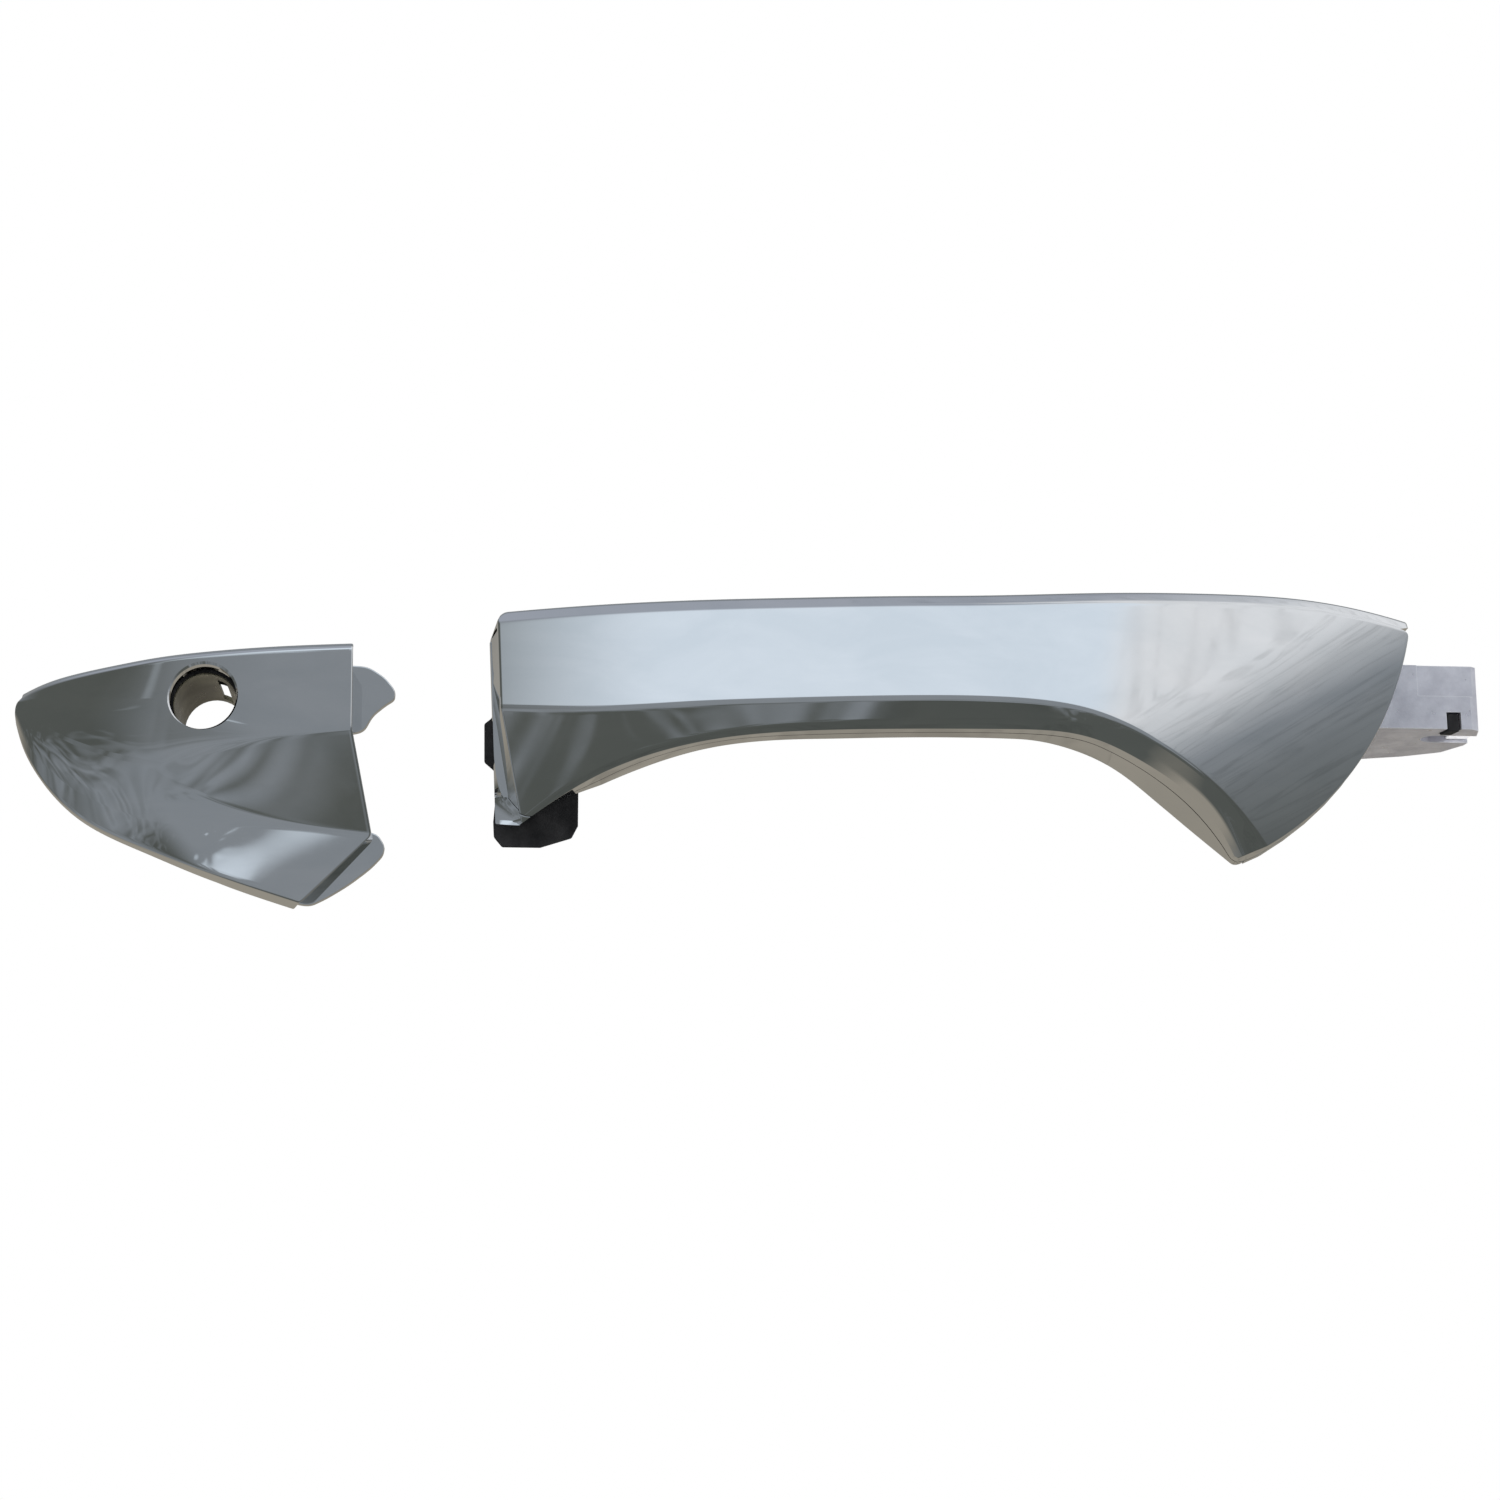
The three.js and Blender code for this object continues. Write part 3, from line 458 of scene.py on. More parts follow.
# ---- materials ------------------------------------------------------------------------------------
class Look:
    """A material with its shader, and helpers for the nodes that feed it."""

    def __init__(self, name, color, roughness, metallic=0.0):
        self.material = bpy.data.materials.new(name)
        self.material.use_nodes = True
        self.nodes = self.material.node_tree.nodes
        self.links = self.material.node_tree.links
        self.shader = self.nodes["Principled BSDF"]
        self.shader.inputs["Base Color"].default_value = (*color, 1)
        self.shader.inputs["Roughness"].default_value = roughness
        self.shader.inputs["Metallic"].default_value = metallic
        self.place = self.nodes.new("ShaderNodeTexCoord").outputs["Object"]
        self.bumps = None

    def noise(self, size, detail=3.0, roughness=0.5, stretch=(1, 1, 1), distortion=0.0):
        """Noise whose features are about size mm across."""
        mapping = self.nodes.new("ShaderNodeMapping")
        mapping.inputs["Scale"].default_value = stretch
        node = self.nodes.new("ShaderNodeTexNoise")
        node.inputs["Scale"].default_value = 1 / (size * MM)
        node.inputs["Detail"].default_value = detail
        node.inputs["Roughness"].default_value = roughness
        node.inputs["Distortion"].default_value = distortion
        self.links.new(self.place, mapping.inputs["Vector"])
        self.links.new(mapping.outputs["Vector"], node.inputs["Vector"])
        return node.outputs["Fac"]

    def spread(self, value, low, high, from_low=0.3, from_high=0.7):
        node = self.nodes.new("ShaderNodeMapRange")
        node.inputs["From Min"].default_value = from_low
        node.inputs["From Max"].default_value = from_high
        node.inputs["To Min"].default_value = low
        node.inputs["To Max"].default_value = high
        self.links.new(value, node.inputs["Value"])
        return node.outputs["Result"]

    def tint(self, value, low, high, from_low=0.35, from_high=0.65):
        node = self.nodes.new("ShaderNodeValToRGB")
        node.color_ramp.elements[0].position = from_low
        node.color_ramp.elements[0].color = (*low, 1)
        node.color_ramp.elements[1].position = from_high
        node.color_ramp.elements[1].color = (*high, 1)
        self.links.new(value, node.inputs["Fac"])
        return node.outputs["Color"]

    def edge_wear(self, radius):
        """About 0 on flats and up to 1 on sharp edges."""
        bevel = self.nodes.new("ShaderNodeBevel")
        bevel.samples = 4
        bevel.inputs["Radius"].default_value = radius * MM
        geometry = self.nodes.new("ShaderNodeNewGeometry")
        dot = self.nodes.new("ShaderNodeVectorMath")
        dot.operation = "DOT_PRODUCT"
        self.links.new(bevel.outputs["Normal"], dot.inputs[0])
        self.links.new(geometry.outputs["Normal"], dot.inputs[1])
        return self.spread(dot.outputs["Value"], 1.0, 0.0, 0.75, 0.98)

    def blend(self, factor, a, b):
        node = self.nodes.new("ShaderNodeMix")
        node.data_type = "RGBA"
        for value, socket in ((a, node.inputs[6]), (b, node.inputs[7])):
            if isinstance(value, tuple):
                socket.default_value = (*value, 1)
            else:
                self.links.new(value, socket)
        self.links.new(factor, node.inputs[0])
        return node.outputs[2]

    def color(self, value):
        self.links.new(value, self.shader.inputs["Base Color"])

    def roughness(self, value):
        self.links.new(value, self.shader.inputs["Roughness"])

    def bump(self, height, depth):
        """Adds a relief; depth is in mm."""
        node = self.nodes.new("ShaderNodeBump")
        node.inputs["Distance"].default_value = depth * MM
        self.links.new(height, node.inputs["Height"])
        if self.bumps:
            self.links.new(self.bumps, node.inputs["Normal"])
        self.bumps = node.outputs["Normal"]
        self.links.new(self.bumps, self.shader.inputs["Normal"])


def chrome_look():
    look = Look("chrome", (0.80, 0.81, 0.82), 0.04, 1.0)
    smear = look.noise(26, 4, 0.55, (1, 1, 2.2), 0.6)
    look.color(look.tint(smear, (0.76, 0.775, 0.785), (0.82, 0.825, 0.83)))
    haze = look.noise(9, 5, 0.6, (1, 1, 1.6), 0.4)
    look.roughness(look.spread(haze, 0.025, 0.075))
    look.bump(look.noise(34, 1.5, 0.4), 0.035)
    look.bump(look.noise(11, 1.0, 0.4, (0.6, 1, 1.3), 0.5), 0.004)
    look.bump(look.noise(1.1, 2, 0.5), 0.00025)
    return look.material


def cast_look():
    look = Look("cast_metal", (0.72, 0.72, 0.78), 0.34, 0.85)
    cloud = look.noise(6, 5, 0.6)
    worn = look.edge_wear(0.5)
    body = look.tint(cloud, (0.60, 0.60, 0.66), (0.76, 0.76, 0.82))
    look.color(look.blend(worn, body, (0.90, 0.90, 0.93)))
    look.roughness(look.spread(look.noise(2.2, 4), 0.27, 0.48))
    look.bump(look.noise(0.55, 4, 0.6), 0.02)
    look.bump(look.noise(9, 2, 0.5), 0.05)
    return look.material


def steel_look():
    look = Look("steel", (0.45, 0.46, 0.47), 0.36, 1.0)
    grain = look.noise(0.5, 4, 0.6, (1, 14, 1))
    cloud = look.noise(8, 4, 0.6)
    look.color(look.tint(cloud, (0.38, 0.38, 0.38), (0.56, 0.57, 0.58)))
    look.roughness(look.spread(grain, 0.26, 0.5))
    look.bump(grain, 0.004)
    return look.material


def brass_look():
    look = Look("brass", (0.62, 0.44, 0.18), 0.3, 1.0)
    cloud = look.noise(3, 4, 0.6)
    look.color(look.tint(cloud, (0.46, 0.31, 0.12), (0.70, 0.52, 0.24)))
    look.roughness(look.spread(look.noise(0.8, 3), 0.2, 0.45))
    look.bump(look.noise(0.3, 3, 0.6, (1, 8, 1)), 0.006)
    return look.material


def rubber_look():
    look = Look("rubber", (0.008, 0.008, 0.009), 0.62)
    look.shader.inputs["Specular IOR Level"].default_value = 0.28
    dust = look.noise(7, 6, 0.65)
    look.color(look.tint(dust, (0.005, 0.005, 0.006), (0.016, 0.016, 0.017)))
    look.roughness(look.spread(look.noise(1.5, 4), 0.5, 0.8))
    look.bump(look.noise(0.35, 4, 0.6), 0.03)
    look.bump(look.noise(5, 2, 0.5), 0.08)
    return look.material


def black_plastic_look():
    look = Look("black_plastic", (0.018, 0.018, 0.020), 0.48)
    look.shader.inputs["Specular IOR Level"].default_value = 0.4
    cloud = look.noise(5, 5, 0.6)
    look.color(look.tint(cloud, (0.013, 0.013, 0.015), (0.028, 0.028, 0.031)))
    look.roughness(look.spread(look.noise(1.2, 4), 0.38, 0.6))
    grain = look.nodes.new("ShaderNodeTexVoronoi")
    grain.inputs["Scale"].default_value = 1 / (0.7 * MM)
    look.links.new(look.place, grain.inputs["Vector"])
    look.bump(grain.outputs["Distance"], 0.035)
    return look.material


def nylon_look():
    look = Look("nylon", (0.78, 0.78, 0.80), 0.42)
    look.shader.inputs["Subsurface Weight"].default_value = 0.12
    look.shader.inputs["Subsurface Radius"].default_value = (0.0012, 0.0011, 0.001)
    cloud = look.noise(6, 4, 0.6)
    look.color(look.tint(cloud, (0.70, 0.70, 0.71), (0.86, 0.86, 0.88)))
    look.roughness(look.spread(look.noise(1.5, 3), 0.34, 0.55))
    look.bump(look.noise(0.6, 3, 0.5), 0.012)
    return look.material


def sleeve_look():
    """Inside of the key tube: a dark olive, half-metallic surface with a cloudy tone."""
    look = Look("sleeve", (0.16, 0.15, 0.10), 0.28, 0.55)
    cloud = look.noise(9, 2, 0.5, (1, 0.6, 1))
    look.color(look.tint(cloud, (0.075, 0.068, 0.042), (0.21, 0.20, 0.14)))
    look.roughness(look.spread(look.noise(7, 2), 0.24, 0.36))
    return look.material


CHROME = chrome_look()
CAST = cast_look()
STEEL = steel_look()
BRASS = brass_look()
RUBBER = rubber_look()
BLACK_PLASTIC = black_plastic_look()
NYLON = nylon_look()
SLEEVE = sleeve_look()


# ---- the two shells of the handle -----------------------------------------------------------------
def grip_body():
    inner, outer = 0.0035, 0.9945
    us = [*np.linspace(inner, 0.014, 14)[:-1], *np.linspace(0.014, outer, 240)]
    rings, front = skin_columns(grip_section, GRIP_COUNTS, us)
    ends, _ = skin_columns(grip_section, GRIP_COUNTS, [0.0, 0.004, 0.994, 1.0])
    rear = rounded_end(ends[0], ends[1], 0.55)[::-1]
    ahead = rounded_end(ends[3], ends[2], 1.0)
    return skin_mesh("grip_body", np.array([*rear, *rings, *ahead]), front)


def grip_hollow_ring(u, wall):
    """The grip's section shrunk by the wall, shallow where it runs out to the lower corner."""
    slope = 1.28
    face = face_line(u, 13)[:-1]
    face[:, 1] += wall
    face[0, 2] -= 0.5 * wall
    top = face[0] + (0, GRIP_BEVEL[0], GRIP_BEVEL[1] - 0.7 * wall)
    crease, lip = GRIP_RAIL["crease"].at(u), GRIP_RAIL["lip"].at(u)
    back = back_depth(lip[0]) - wall
    by_depth = (back - 1 - slope * wall - crease[1]) / (lip[1] - crease[1])
    by_edge = max(0.3, 1 - 0.7 * wall / abs(crease[2] - lip[2]))
    low = mix(crease, lip, min(max(min(by_depth, by_edge), 0.05), 1))
    low[1] += slope * wall
    crease[1] += 1.15 * wall
    sole = np.array([low[0], mix(low[1], back, 0.4), low[2]])
    foot = np.array([low[0], back, low[2]])
    rows = face_line(u, 13)[::-1][3:-1:3]
    rows[:, 1] = [back_depth(x) - wall for x in rows[:, 0]]
    top_back = np.array([top[0], back_depth(top[0]) - wall, top[2] - 0.3])
    rake = rear_reach(u, len(GRIP))
    foot[0] -= END_RAKE * rake
    rows[:, 0] -= END_RAKE * rake
    top_back[0] -= END_RAKE * rake
    return np.vstack([top, face, crease, low, sole, foot, rows, top_back])


def loft(name, rings):
    """A closed skin over plain rings, ends closed by one face each."""
    count = len(rings[0])
    faces = []
    for i in range(len(rings) - 1):
        for j in range(count):
            a, b = i * count + j, i * count + (j + 1) % count
            faces.append([a, b, b + count, a + count])
    last = (len(rings) - 1) * count
    faces += [list(range(count)), list(range(last, last + count))]
    return solid(name, np.concatenate(rings), faces)


def grip_hollow():
    rings = [grip_hollow_ring(u, WALL) for u in np.linspace(0, 0.985, 90)]
    mouth = rings[0] + (-6, 0, 0)
    return loft("grip_hollow", [mouth, *rings])


def part_line_cutter(shift):
    rail = Rail([(x, y, 0) for x, y in PART_LINE])
    line = [rail.at(u) for u in np.linspace(0, 1, 90)]
    outline = [(p[0], p[1] + shift) for p in line] + [(OPEN_AIR, 60), (-220, 60)]
    return prism(outline, "z", -60, 60)


def node_cutter(node, margin):
    """A block around a CAD node's box, from inside the shell to the open."""
    low, high = (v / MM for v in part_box(node))
    return low - Vector((margin,) * 3), high + Vector((margin,) * 3)


def cut_feet(shell):
    """Openings where the leg and the arm pass through the door side of the shell."""
    leg_low, leg_high = node_cutter("latch_leg", 0.6)
    combine(shell, block((leg_low.x, -12, leg_low.z), (leg_high.x, 0, 2.6)))
    arm_low, arm_high = node_cutter("hinge_arm", 0.5)
    combine(shell, block((arm_low.x, -12, arm_low.z), (24.5, 0, arm_high.z)))


def round_corner(shell, corner, one_way, other_way, reach):
    """Rounds an upright corner of the outline, between the edges that leave it both ways."""
    corner, one_way, other_way = (np.array(p, float) for p in (corner, one_way, other_way))
    start = corner + one_way / np.linalg.norm(one_way) * reach
    end = corner + other_way / np.linalg.norm(other_way) * reach
    outside = corner - (start + end - 2 * corner)
    arc = arc_between(start, corner, end, 7)
    combine(shell, prism([start, *arc, end, outside], "y", -OPEN_AIR, OPEN_AIR))


def make_handle_shells():
    body = grip_body()
    for corner, one_way, other_way, reach in FRONT_CORNERS:
        round_corner(body, corner, one_way, other_way, reach)
    combine(body, grip_hollow())
    inner = body.copy()
    inner.data = body.data.copy()
    bpy.context.scene.collection.objects.link(inner)
    combine(body, part_line_cutter(-PARTING_GAP / 2))
    arm_low, arm_high = node_cutter("hinge_arm", 0.5)
    combine(body, block((arm_low.x, -12, arm_low.z), (24.5, 0, arm_high.z)))
    combine(inner, part_line_cutter(PARTING_GAP / 2), "INTERSECT")
    cut_feet(inner)
    for x, z in SHELL_SCREWS:
        seat = back_depth(x) - 1.5
        combine(inner, turned([(2.05, -30), (2.05, seat), (3.5, seat), (3.5, 5)], (x, 0, z), segments=48))
    place(smooth(body), "handle_outer_shell", "handle", "chrome", CHROME, ["grip_outer_shell"])
    place(smooth(inner), "handle_inner_shell", "handle", "chrome", CHROME, ["grip_inner_shell"])


# ---- the rear cap ---------------------------------------------------------------------------------
def cap_body():
    us = np.linspace(0.012, 0.991, 170)
    rings, front = skin_columns(cap_section, CAP_COUNTS, us)
    ends, _ = skin_columns(cap_section, CAP_COUNTS, [0.0, 0.012, 0.991, 1.0])
    nose = rounded_end(ends[0], ends[1], 0.5)[::-1]
    mating = rounded_end(ends[3], ends[2], 0.45)
    return skin_mesh("cap_body", np.array([*nose, *rings, *mating]), front)


def cap_hollow_ring(u, wall, back):
    top, ridge, valley, rim = (CAP_RAIL[k].at(u) for k in ("top", "ridge", "valley", "rim"))
    inwards = (top - rim) * (1, 0, 1)
    inwards /= np.linalg.norm(inwards)
    rim = rim + inwards * 1.5 * wall + (0, wall, 0)
    top = top + (0, wall * 0.6, -wall * 1.15)
    ridge = ridge + (0, wall * 1.15, 0)
    valley = valley + (-0.4 * wall, wall * 0.9, 0.4 * wall)
    for p in (valley, rim):
        p[1] = min(p[1], CAP_BACK_Y - 1)
    rear = np.array([rim, valley, ridge, top])
    rear[:, 1] = back
    rear[:, 0] -= np.array([END_RAKE, VALLEY_RAKE, END_RAKE, END_RAKE]) * rear_reach(1 - u, len(CAP))
    front = np.array([top, (top + ridge) / 2, ridge, (ridge + valley) / 2, valley, rim])
    return np.vstack([front, rear])


def cap_face_at(x, z):
    """Depth of the cap's upper face at (x, z), and the way it faces."""
    def depth(px, pz):
        low, high = 0.0, 1.0
        for _ in range(40):
            u = (low + high) / 2
            bevel = CAP_RAIL["top"].at(u) + (0, -CAP_BEVEL, -CAP_BEVEL)
            ridge = CAP_RAIL["ridge"].at(u)
            v = (pz - bevel[2]) / (ridge[2] - bevel[2])
            point = mix(bevel, ridge, v)
            if point[0] < px:
                low = u
            else:
                high = u
        return point[1]
    step = 1.0
    slope_x = (depth(x + step, z) - depth(x - step, z)) / (2 * step)
    slope_z = (depth(x, z + step) - depth(x, z - step)) / (2 * step)
    return depth(x, z), Vector((slope_x, -1, slope_z)).normalized()


def make_cap_shell():
    shell = cap_body()
    for outline in TONGUES:
        tongue = prism(soft_outline(outline), "y", *TONGUE_Y)
        combine(shell, eased(tongue, 0.35, 2, 50), "UNION")
    rings = [cap_hollow_ring(u, WALL, 6) for u in np.linspace(0.05, 0.965, 60)]
    combine(shell, loft("cap_hollow", rings))
    x, z, radius = KEY_HOLE["x"], KEY_HOLE["z"], KEY_HOLE["radius"]
    combine(shell, turned([(radius, -40), (radius, 10)], (x, 0, z), segments=96))
    depth, facing = cap_face_at(x, z)
    wide = radius + 2 * KEY_HOLE["chamfer"] + 2
    flare = [(radius - 1.2, -KEY_HOLE["chamfer"] - 1.0), (wide, 2.2)]
    combine(shell, turned(flare, (x, depth, z), facing, 96))
    place(smooth(shell), "rear_cap_shell", "rear_cap", "chrome", CHROME, ["cap_shell"])


def soft_outline(outline, per_side=5):
    """The outline with its corners rounded off by a closed smooth curve between side middles."""
    points = [np.array(p, float) for p in outline]
    count = len(points)
    result = []
    for i in range(count):
        before, here, after = points[i - 1], points[i], points[(i + 1) % count]
        a, b = mix(before, here, 0.65), mix(here, after, 0.35)
        for t in np.linspace(0, 1, per_side):
            result.append(tuple((1 - t) ** 2 * a + 2 * t * (1 - t) * here + t ** 2 * b))
    return result


make_handle_shells()
make_cap_shell()


# ---- pieces with the CAD shape and eased edges ----------------------------------------------------
EASED = [
    ("end_plate", "handle", "chrome", CHROME, 0.15),
    ("carrier_bar", "handle", "cast_metal", CAST, 0.4),
    ("hinge_bush", "handle", "nylon", NYLON, 0.3),
    ("arm_damper", "handle", "rubber", RUBBER, 0.35),
    ("latch_leg", "handle", "steel", STEEL, 0.35),
    ("leg_wear_pad", "handle", "nylon", NYLON, 0.3),
    ("leg_stop_rubber", "handle", "rubber", RUBBER, 0.4),
    ("cap_frame", "rear_cap", "black_plastic", BLACK_PLASTIC, 0.3),
    ("lock_sleeve", "rear_cap", "black_plastic", SLEEVE, 0.12),
    ("cap_clip_nose", "rear_cap", "steel", STEEL, 0.12),
    ("cap_clip_lower", "rear_cap", "steel", STEEL, 0.12),
    ("cap_gasket", "rear_cap", "rubber", RUBBER, 0.35),
    ("front_gasket", "door_pads", "rubber", RUBBER, 0.4),
    ("rear_gasket", "door_pads", "rubber", RUBBER, 0.4),
    ("hinge_arm", "handle", "cast_metal", CAST, 0.45),
    ("key_hole_seal", "rear_cap", "rubber", RUBBER, 0.2),
    ("cap_nut", "rear_cap", "brass", BRASS, 0.15),
]
for node, body, slot_name, look, radius in EASED:
    piece = eased(cad_copy(node), radius)
    place(smooth(piece), "fine_" + node, body, slot_name, look, [node])

RECESS_LENGTH, RECESS_WIDTH, RECESS_DEPTH = 3.0, 0.75, 0.8
SCREWS = [
    ("shell_screw_1", "handle"), ("shell_screw_2", "handle"), ("shell_screw_3", "handle"),
    ("cap_frame_screw_1", "rear_cap"), ("cap_frame_screw_2", "rear_cap"),
]


def make_screw(node, body):
    """A screw with eased edges and a cross recess in its head, which faces the door."""
    corners = [v.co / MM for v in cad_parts[node].data.vertices]
    low = [min(c[i] for c in corners) for i in range(3)]
    high = [max(c[i] for c in corners) for i in range(3)]
    x, z = (low[0] + high[0]) / 2, (low[2] + high[2]) / 2
    screw = eased(cad_copy(node), 0.1, 2)
    for half_x, half_z in ((RECESS_LENGTH / 2, RECESS_WIDTH / 2), (RECESS_WIDTH / 2, RECESS_LENGTH / 2)):
        floor_corner = [x - half_x, high[1] - RECESS_DEPTH, z - half_z]
        open_corner = [x + half_x, high[1] + 1, z + half_z]
        combine(screw, block(floor_corner, open_corner))
    place(smooth(screw), "fine_" + node, body, "steel", STEEL, [node])


for node, body in SCREWS:
    make_screw(node, body)


# ---- studio ---------------------------------------------------------------------------------------
def linear(color):
    """Light of a colour given as 0 to 255 on a screen."""
    return tuple((c / 255 / 12.92) if c <= 10 else ((c / 255 + 0.055) / 1.055) ** 2.4 for c in color)


PLATING = 0.80                     # share of the light that the plating mirrors


class Surroundings:
    """The world's nodes: colours by the direction that the plating mirrors."""

    def __init__(self, world):
        world.use_nodes = True
        self.nodes = world.node_tree.nodes
        self.links = world.node_tree.links
        self.nodes.clear()
        self.direction = self.nodes.new("ShaderNodeTexCoord").outputs["Generated"]

    def math(self, operation, *values):
        node = self.nodes.new("ShaderNodeMath")
        node.operation = operation
        for socket, value in zip(node.inputs, values):
            if isinstance(value, (int, float)):
                socket.default_value = value
            else:
                self.links.new(value, socket)
        return node.outputs[0]

    def degrees(self, radians):
        return self.math("MULTIPLY", radians, 180 / math.pi)

    def fade(self, value, start, end):
        """0 at start, 1 at end, smooth between."""
        node = self.nodes.new("ShaderNodeMapRange")
        node.interpolation_type = "SMOOTHSTEP"
        node.inputs["From Min"].default_value = start
        node.inputs["From Max"].default_value = end
        self.links.new(value, node.inputs["Value"])
        return node.outputs["Result"]

    def sky(self, elevation, stops):
        """Colours up one side: stops are (degrees above the horizon, tone as the plating shows it)."""
        place = self.math("MULTIPLY_ADD", elevation, 1 / 180, 0.5)
        ramp = self.nodes.new("ShaderNodeValToRGB")
        self.links.new(place, ramp.inputs["Fac"])
        elements = ramp.color_ramp.elements
        while len(elements) < len(stops):
            elements.new(0.5)
        for element, (degrees, tone) in zip(elements, stops):
            element.position = degrees / 180 + 0.5
            element.color = (*(c / PLATING for c in linear(TONES[tone])), 1)
        return ramp.outputs["Color"]

    def mix(self, factor, a, b, how="MIX"):
        node = self.nodes.new("ShaderNodeMix")
        node.data_type = "RGBA"
        node.blend_type = how
        for value, socket in ((factor, node.inputs[0]), (a, node.inputs[6]), (b, node.inputs[7])):
            self.links.new(value, socket)
        return node.outputs[2]

    def waves(self, across, along_it, size, detail, distortion):
        """Noise over two angles, whose features are about size degrees across and along."""
        pair = self.nodes.new("ShaderNodeCombineXYZ")
        for angle, degrees, socket in zip((across, along_it), size, pair.inputs):
            self.links.new(self.math("MULTIPLY", angle, 1 / degrees), socket)
        noise = self.nodes.new("ShaderNodeTexNoise")
        noise.inputs["Scale"].default_value = 1.0
        noise.inputs["Detail"].default_value = detail
        noise.inputs["Distortion"].default_value = distortion
        self.links.new(pair.outputs[0], noise.inputs["Vector"])
        return noise.outputs["Fac"]


# What surrounds the object, in six tones: open sky, bright daylight beside it, haze overhead,
# the wall of a room, the dark ground in front, and a warm bench behind and below.
TONES = {
    "sky": (205, 215, 225),
    "daylight": (215, 217, 220),
    "haze": (150, 155, 165),
    "wall": (125, 130, 135),
    "ground": (78, 81, 78),
    "bench": (140, 135, 125),
}
# Each side of the surroundings, as tones at degrees above the horizon.
AHEAD = [(-70, "ground"), (-45, "wall"), (20, "wall"), (28, "sky"), (40, "sky"), (55, "haze")]
LEFT = [(-70, "ground"), (-45, "wall"), (-10, "ground"), (35, "ground"), (60, "haze")]
RIGHT = [(-35, "ground"), (0, "wall"), (30, "daylight"), (60, "daylight"), (75, "haze")]
BEHIND = [(-55, "ground"), (-40, "bench"), (0, "bench"), (50, "wall")]


WANDER_SIZE, WANDER = (34, 20), 34       # how far the edge of the bright side strays, in degrees
BRIGHT_EDGE = (22, 27)                   # azimuths between which the bright side begins
LEFT_EDGE = (12, 40)                     # and, counted to the left, those where the left side does
BACK_EDGE = (105, 140)                   # and, counted both ways, those where the back does
SWIRL_SIZE, SWIRL_LIFT = (24, 18), 60    # swirls shift the tones below the sky's edge by this much
SWIRL_TOP = (27, 18)                     # elevations over which the swirls set in, downwards
TILT_COS, TILT_SIN = 0.62, 0.78          # the veins lie across this slope
VEIN_SIZE, VEIN_WIDTH, VEIN_DARK = (5.5, 17), 0.045, 0.16
BROAD_SIZE, BROAD_DARK = (9, 30), 0.07


def bright_side_shade(around, azimuth, elevation):
    """How much darker the veins and broad streaks make a place on the bright side."""
    over = around.math("ADD", around.math("MULTIPLY", azimuth, TILT_COS),
                       around.math("MULTIPLY", elevation, -TILT_SIN))
    under = around.math("ADD", around.math("MULTIPLY", azimuth, TILT_SIN),
                        around.math("MULTIPLY", elevation, TILT_COS))
    streaks = around.waves(over, under, VEIN_SIZE, 4, 1.6)
    from_middle = around.math("ABSOLUTE", around.math("SUBTRACT", streaks, 0.5))
    vein = around.math("MULTIPLY", around.fade(from_middle, VEIN_WIDTH, 0.0), VEIN_DARK)
    broad = around.fade(around.waves(over, under, BROAD_SIZE, 2, 1.2), 0.4, 0.65)
    return around.math("MULTIPLY_ADD", broad, BROAD_DARK, vein)


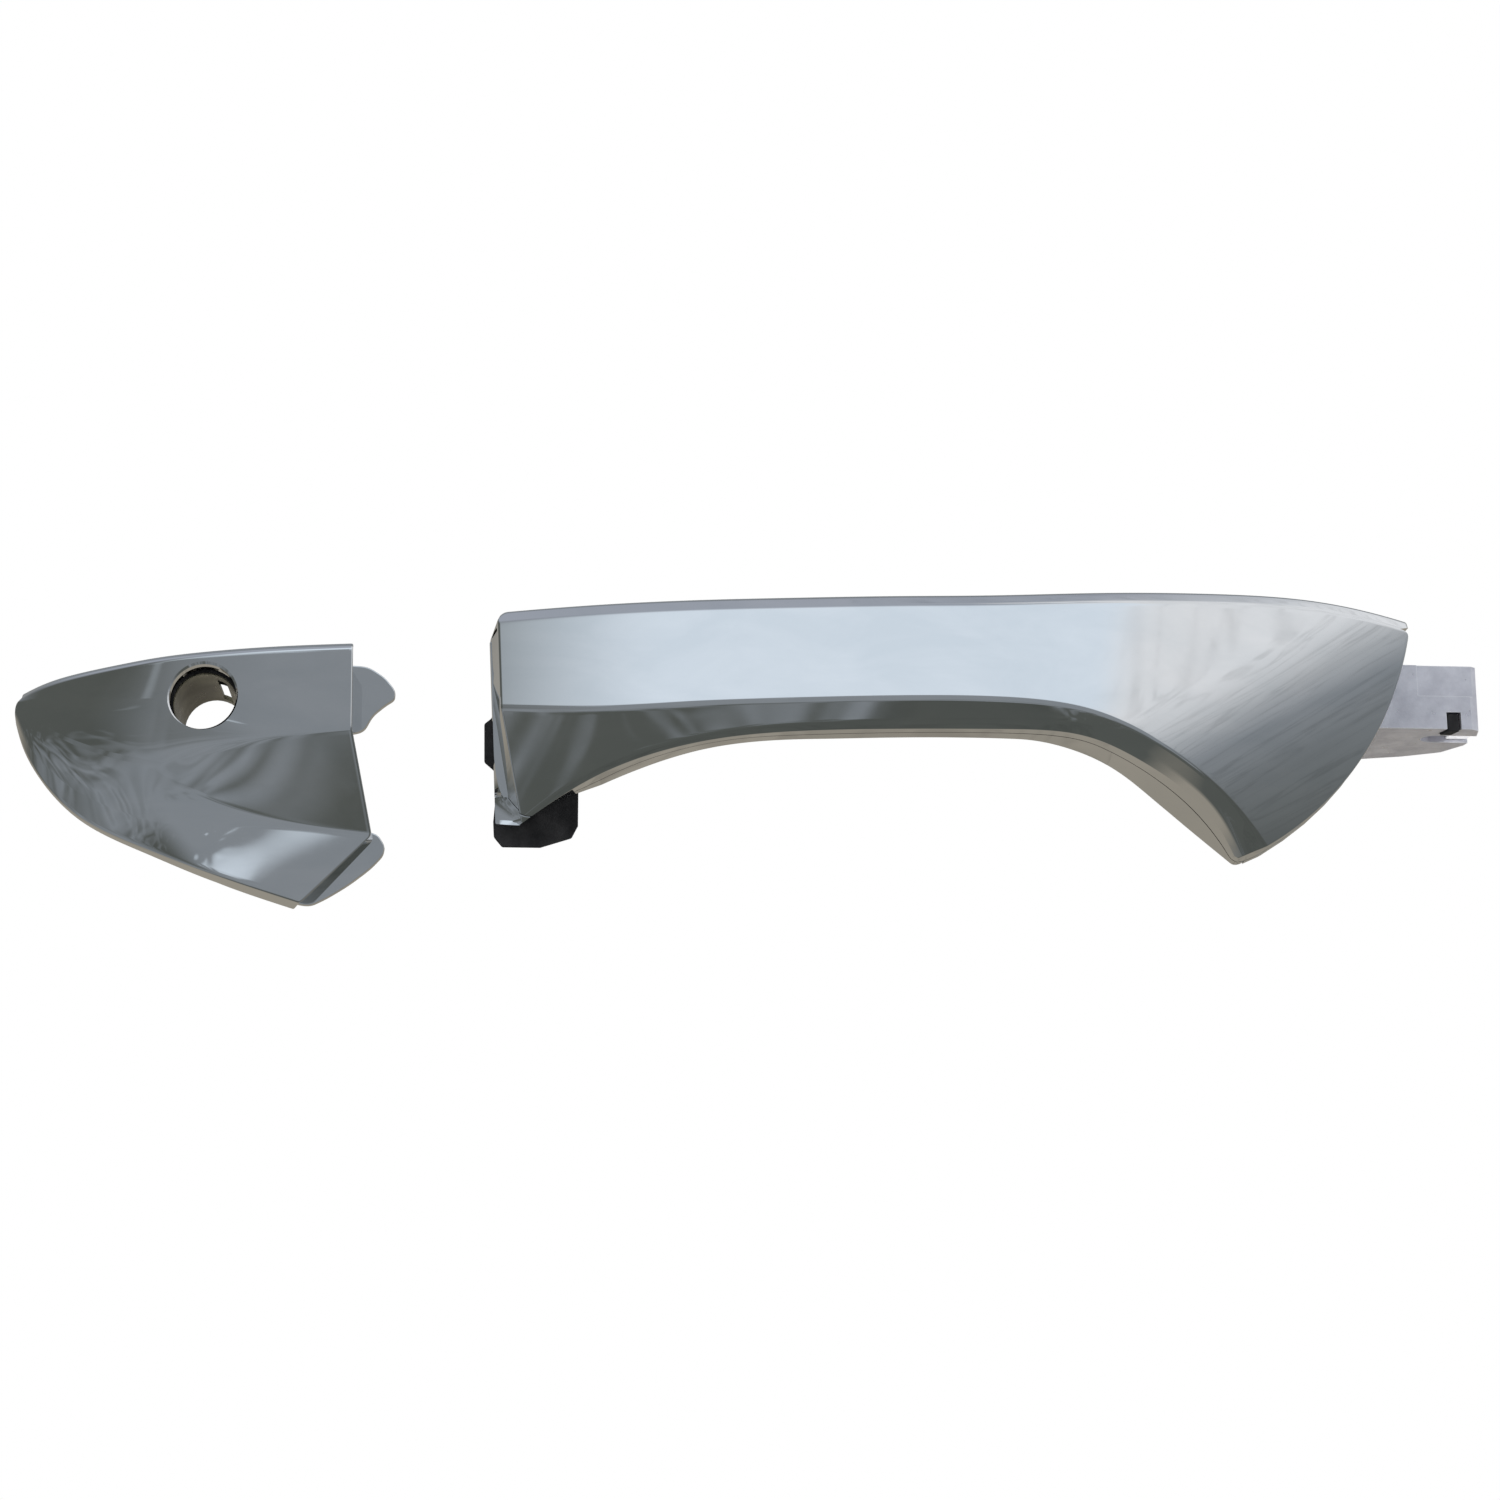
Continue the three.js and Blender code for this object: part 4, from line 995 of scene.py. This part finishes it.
def make_world():
    """Plain white, except in what a glossy face mirrors, which depends on the direction."""
    world = bpy.data.worlds.new("studio")
    bpy.context.scene.world = world
    around = Surroundings(world)
    nodes, links = around.nodes, around.links
    split = nodes.new("ShaderNodeSeparateXYZ")
    links.new(around.direction, split.inputs[0])
    x, y, z = split.outputs
    elevation = around.degrees(around.math("ARCSINE", z))
    azimuth = around.degrees(around.math("ARCTAN2", x, around.math("MULTIPLY", y, -1)))

    wander = around.waves(azimuth, elevation, WANDER_SIZE, 0.6, 2.0)
    sway = around.math("MULTIPLY_ADD", around.math("SUBTRACT", wander, 0.5), WANDER, azimuth)
    to_right = around.fade(sway, *BRIGHT_EDGE)
    to_left = around.fade(around.math("MULTIPLY", azimuth, -1), *LEFT_EDGE)
    to_back = around.fade(around.math("ABSOLUTE", azimuth), *BACK_EDGE)
    swirl = around.waves(azimuth, elevation, SWIRL_SIZE, 1.0, 3.4)
    depth = around.math("MULTIPLY", around.fade(elevation, *SWIRL_TOP), SWIRL_LIFT)
    lift = around.math("MULTIPLY", around.math("SUBTRACT", swirl, 0.5), depth)
    height = around.math("ADD", elevation, lift)

    color = around.mix(to_left, around.sky(height, AHEAD), around.sky(height, LEFT))
    color = around.mix(to_right, color, around.sky(elevation, RIGHT))
    color = around.mix(to_back, color, around.sky(elevation, BEHIND))

    dark = around.math("MULTIPLY", bright_side_shade(around, azimuth, elevation), to_right)
    shade = nodes.new("ShaderNodeCombineColor")
    for socket in shade.inputs:
        links.new(around.math("SUBTRACT", 1.0, dark), socket)
    one = nodes.new("ShaderNodeValue")
    one.outputs[0].default_value = 1.0
    color = around.mix(one.outputs[0], color, shade.outputs[0], "MULTIPLY")

    path = nodes.new("ShaderNodeLightPath")
    lit = nodes.new("ShaderNodeBackground")
    links.new(color, lit.inputs["Color"])
    plain = nodes.new("ShaderNodeBackground")
    plain.inputs["Color"].default_value = (1, 1, 1, 1)
    either = nodes.new("ShaderNodeMixShader")
    links.new(path.outputs["Is Glossy Ray"], either.inputs[0])
    links.new(plain.outputs[0], either.inputs[1])
    links.new(lit.outputs[0], either.inputs[2])
    output = nodes.new("ShaderNodeOutputWorld")
    links.new(either.outputs[0], output.inputs["Surface"])


def make_floor():
    """A wide pale floor below the object, which its plating doesn't mirror."""
    size, height = 60.0, -0.33
    mesh = bpy.data.meshes.new("floor")
    corners = [(-size, -size, height), (size, -size, height), (size, size, height), (-size, size, height)]
    mesh.from_pydata(corners, [], [(0, 1, 2, 3)])
    floor = bpy.data.objects.new("floor", mesh)
    bpy.context.scene.collection.objects.link(floor)
    look = Look("floor", (0.82, 0.82, 0.82), 0.8)
    mesh.materials.append(look.material)
    floor.visible_glossy = False


def make_light(name, place_at, size, power, color=(1, 1, 1)):
    data = bpy.data.lights.new(name, "AREA")
    data.size = size
    data.energy = power
    data.color = color
    lamp = bpy.data.objects.new(name, data)
    bpy.context.scene.collection.objects.link(lamp)
    lamp.location = place_at
    aim = Vector((-0.12, 0, 0)) - Vector(place_at)
    lamp.rotation_euler = aim.to_track_quat("-Z", "Y").to_euler()
    lamp.visible_glossy = False
    lamp.visible_camera = False


def make_camera():
    azimuth, elevation = math.radians(-4), math.radians(-14)
    distance, frame_width = 0.700, 0.345
    target = Vector((-0.128, -0.030, -0.0126))
    back = Vector((math.sin(azimuth) * math.cos(elevation),
                   -math.cos(azimuth) * math.cos(elevation),
                   math.sin(elevation)))
    data = bpy.data.cameras.new("camera")
    data.sensor_width = 36
    data.lens = data.sensor_width * distance / frame_width
    data.clip_start = 0.01
    camera = bpy.data.objects.new("camera", data)
    bpy.context.scene.collection.objects.link(camera)
    camera.location = target + back * distance
    camera.rotation_euler = (-back).to_track_quat("-Z", "Y").to_euler()
    bpy.context.scene.camera = camera


make_world()
make_floor()
make_light("key", (-0.7, -1.0, 1.1), 0.9, 16)
make_light("fill", (0.9, -0.9, 0.3), 0.9, 7)
make_light("back", (-0.2, 1.2, 0.9), 0.9, 10)
make_camera()
bpy.context.scene.view_settings.view_transform = "Standard"
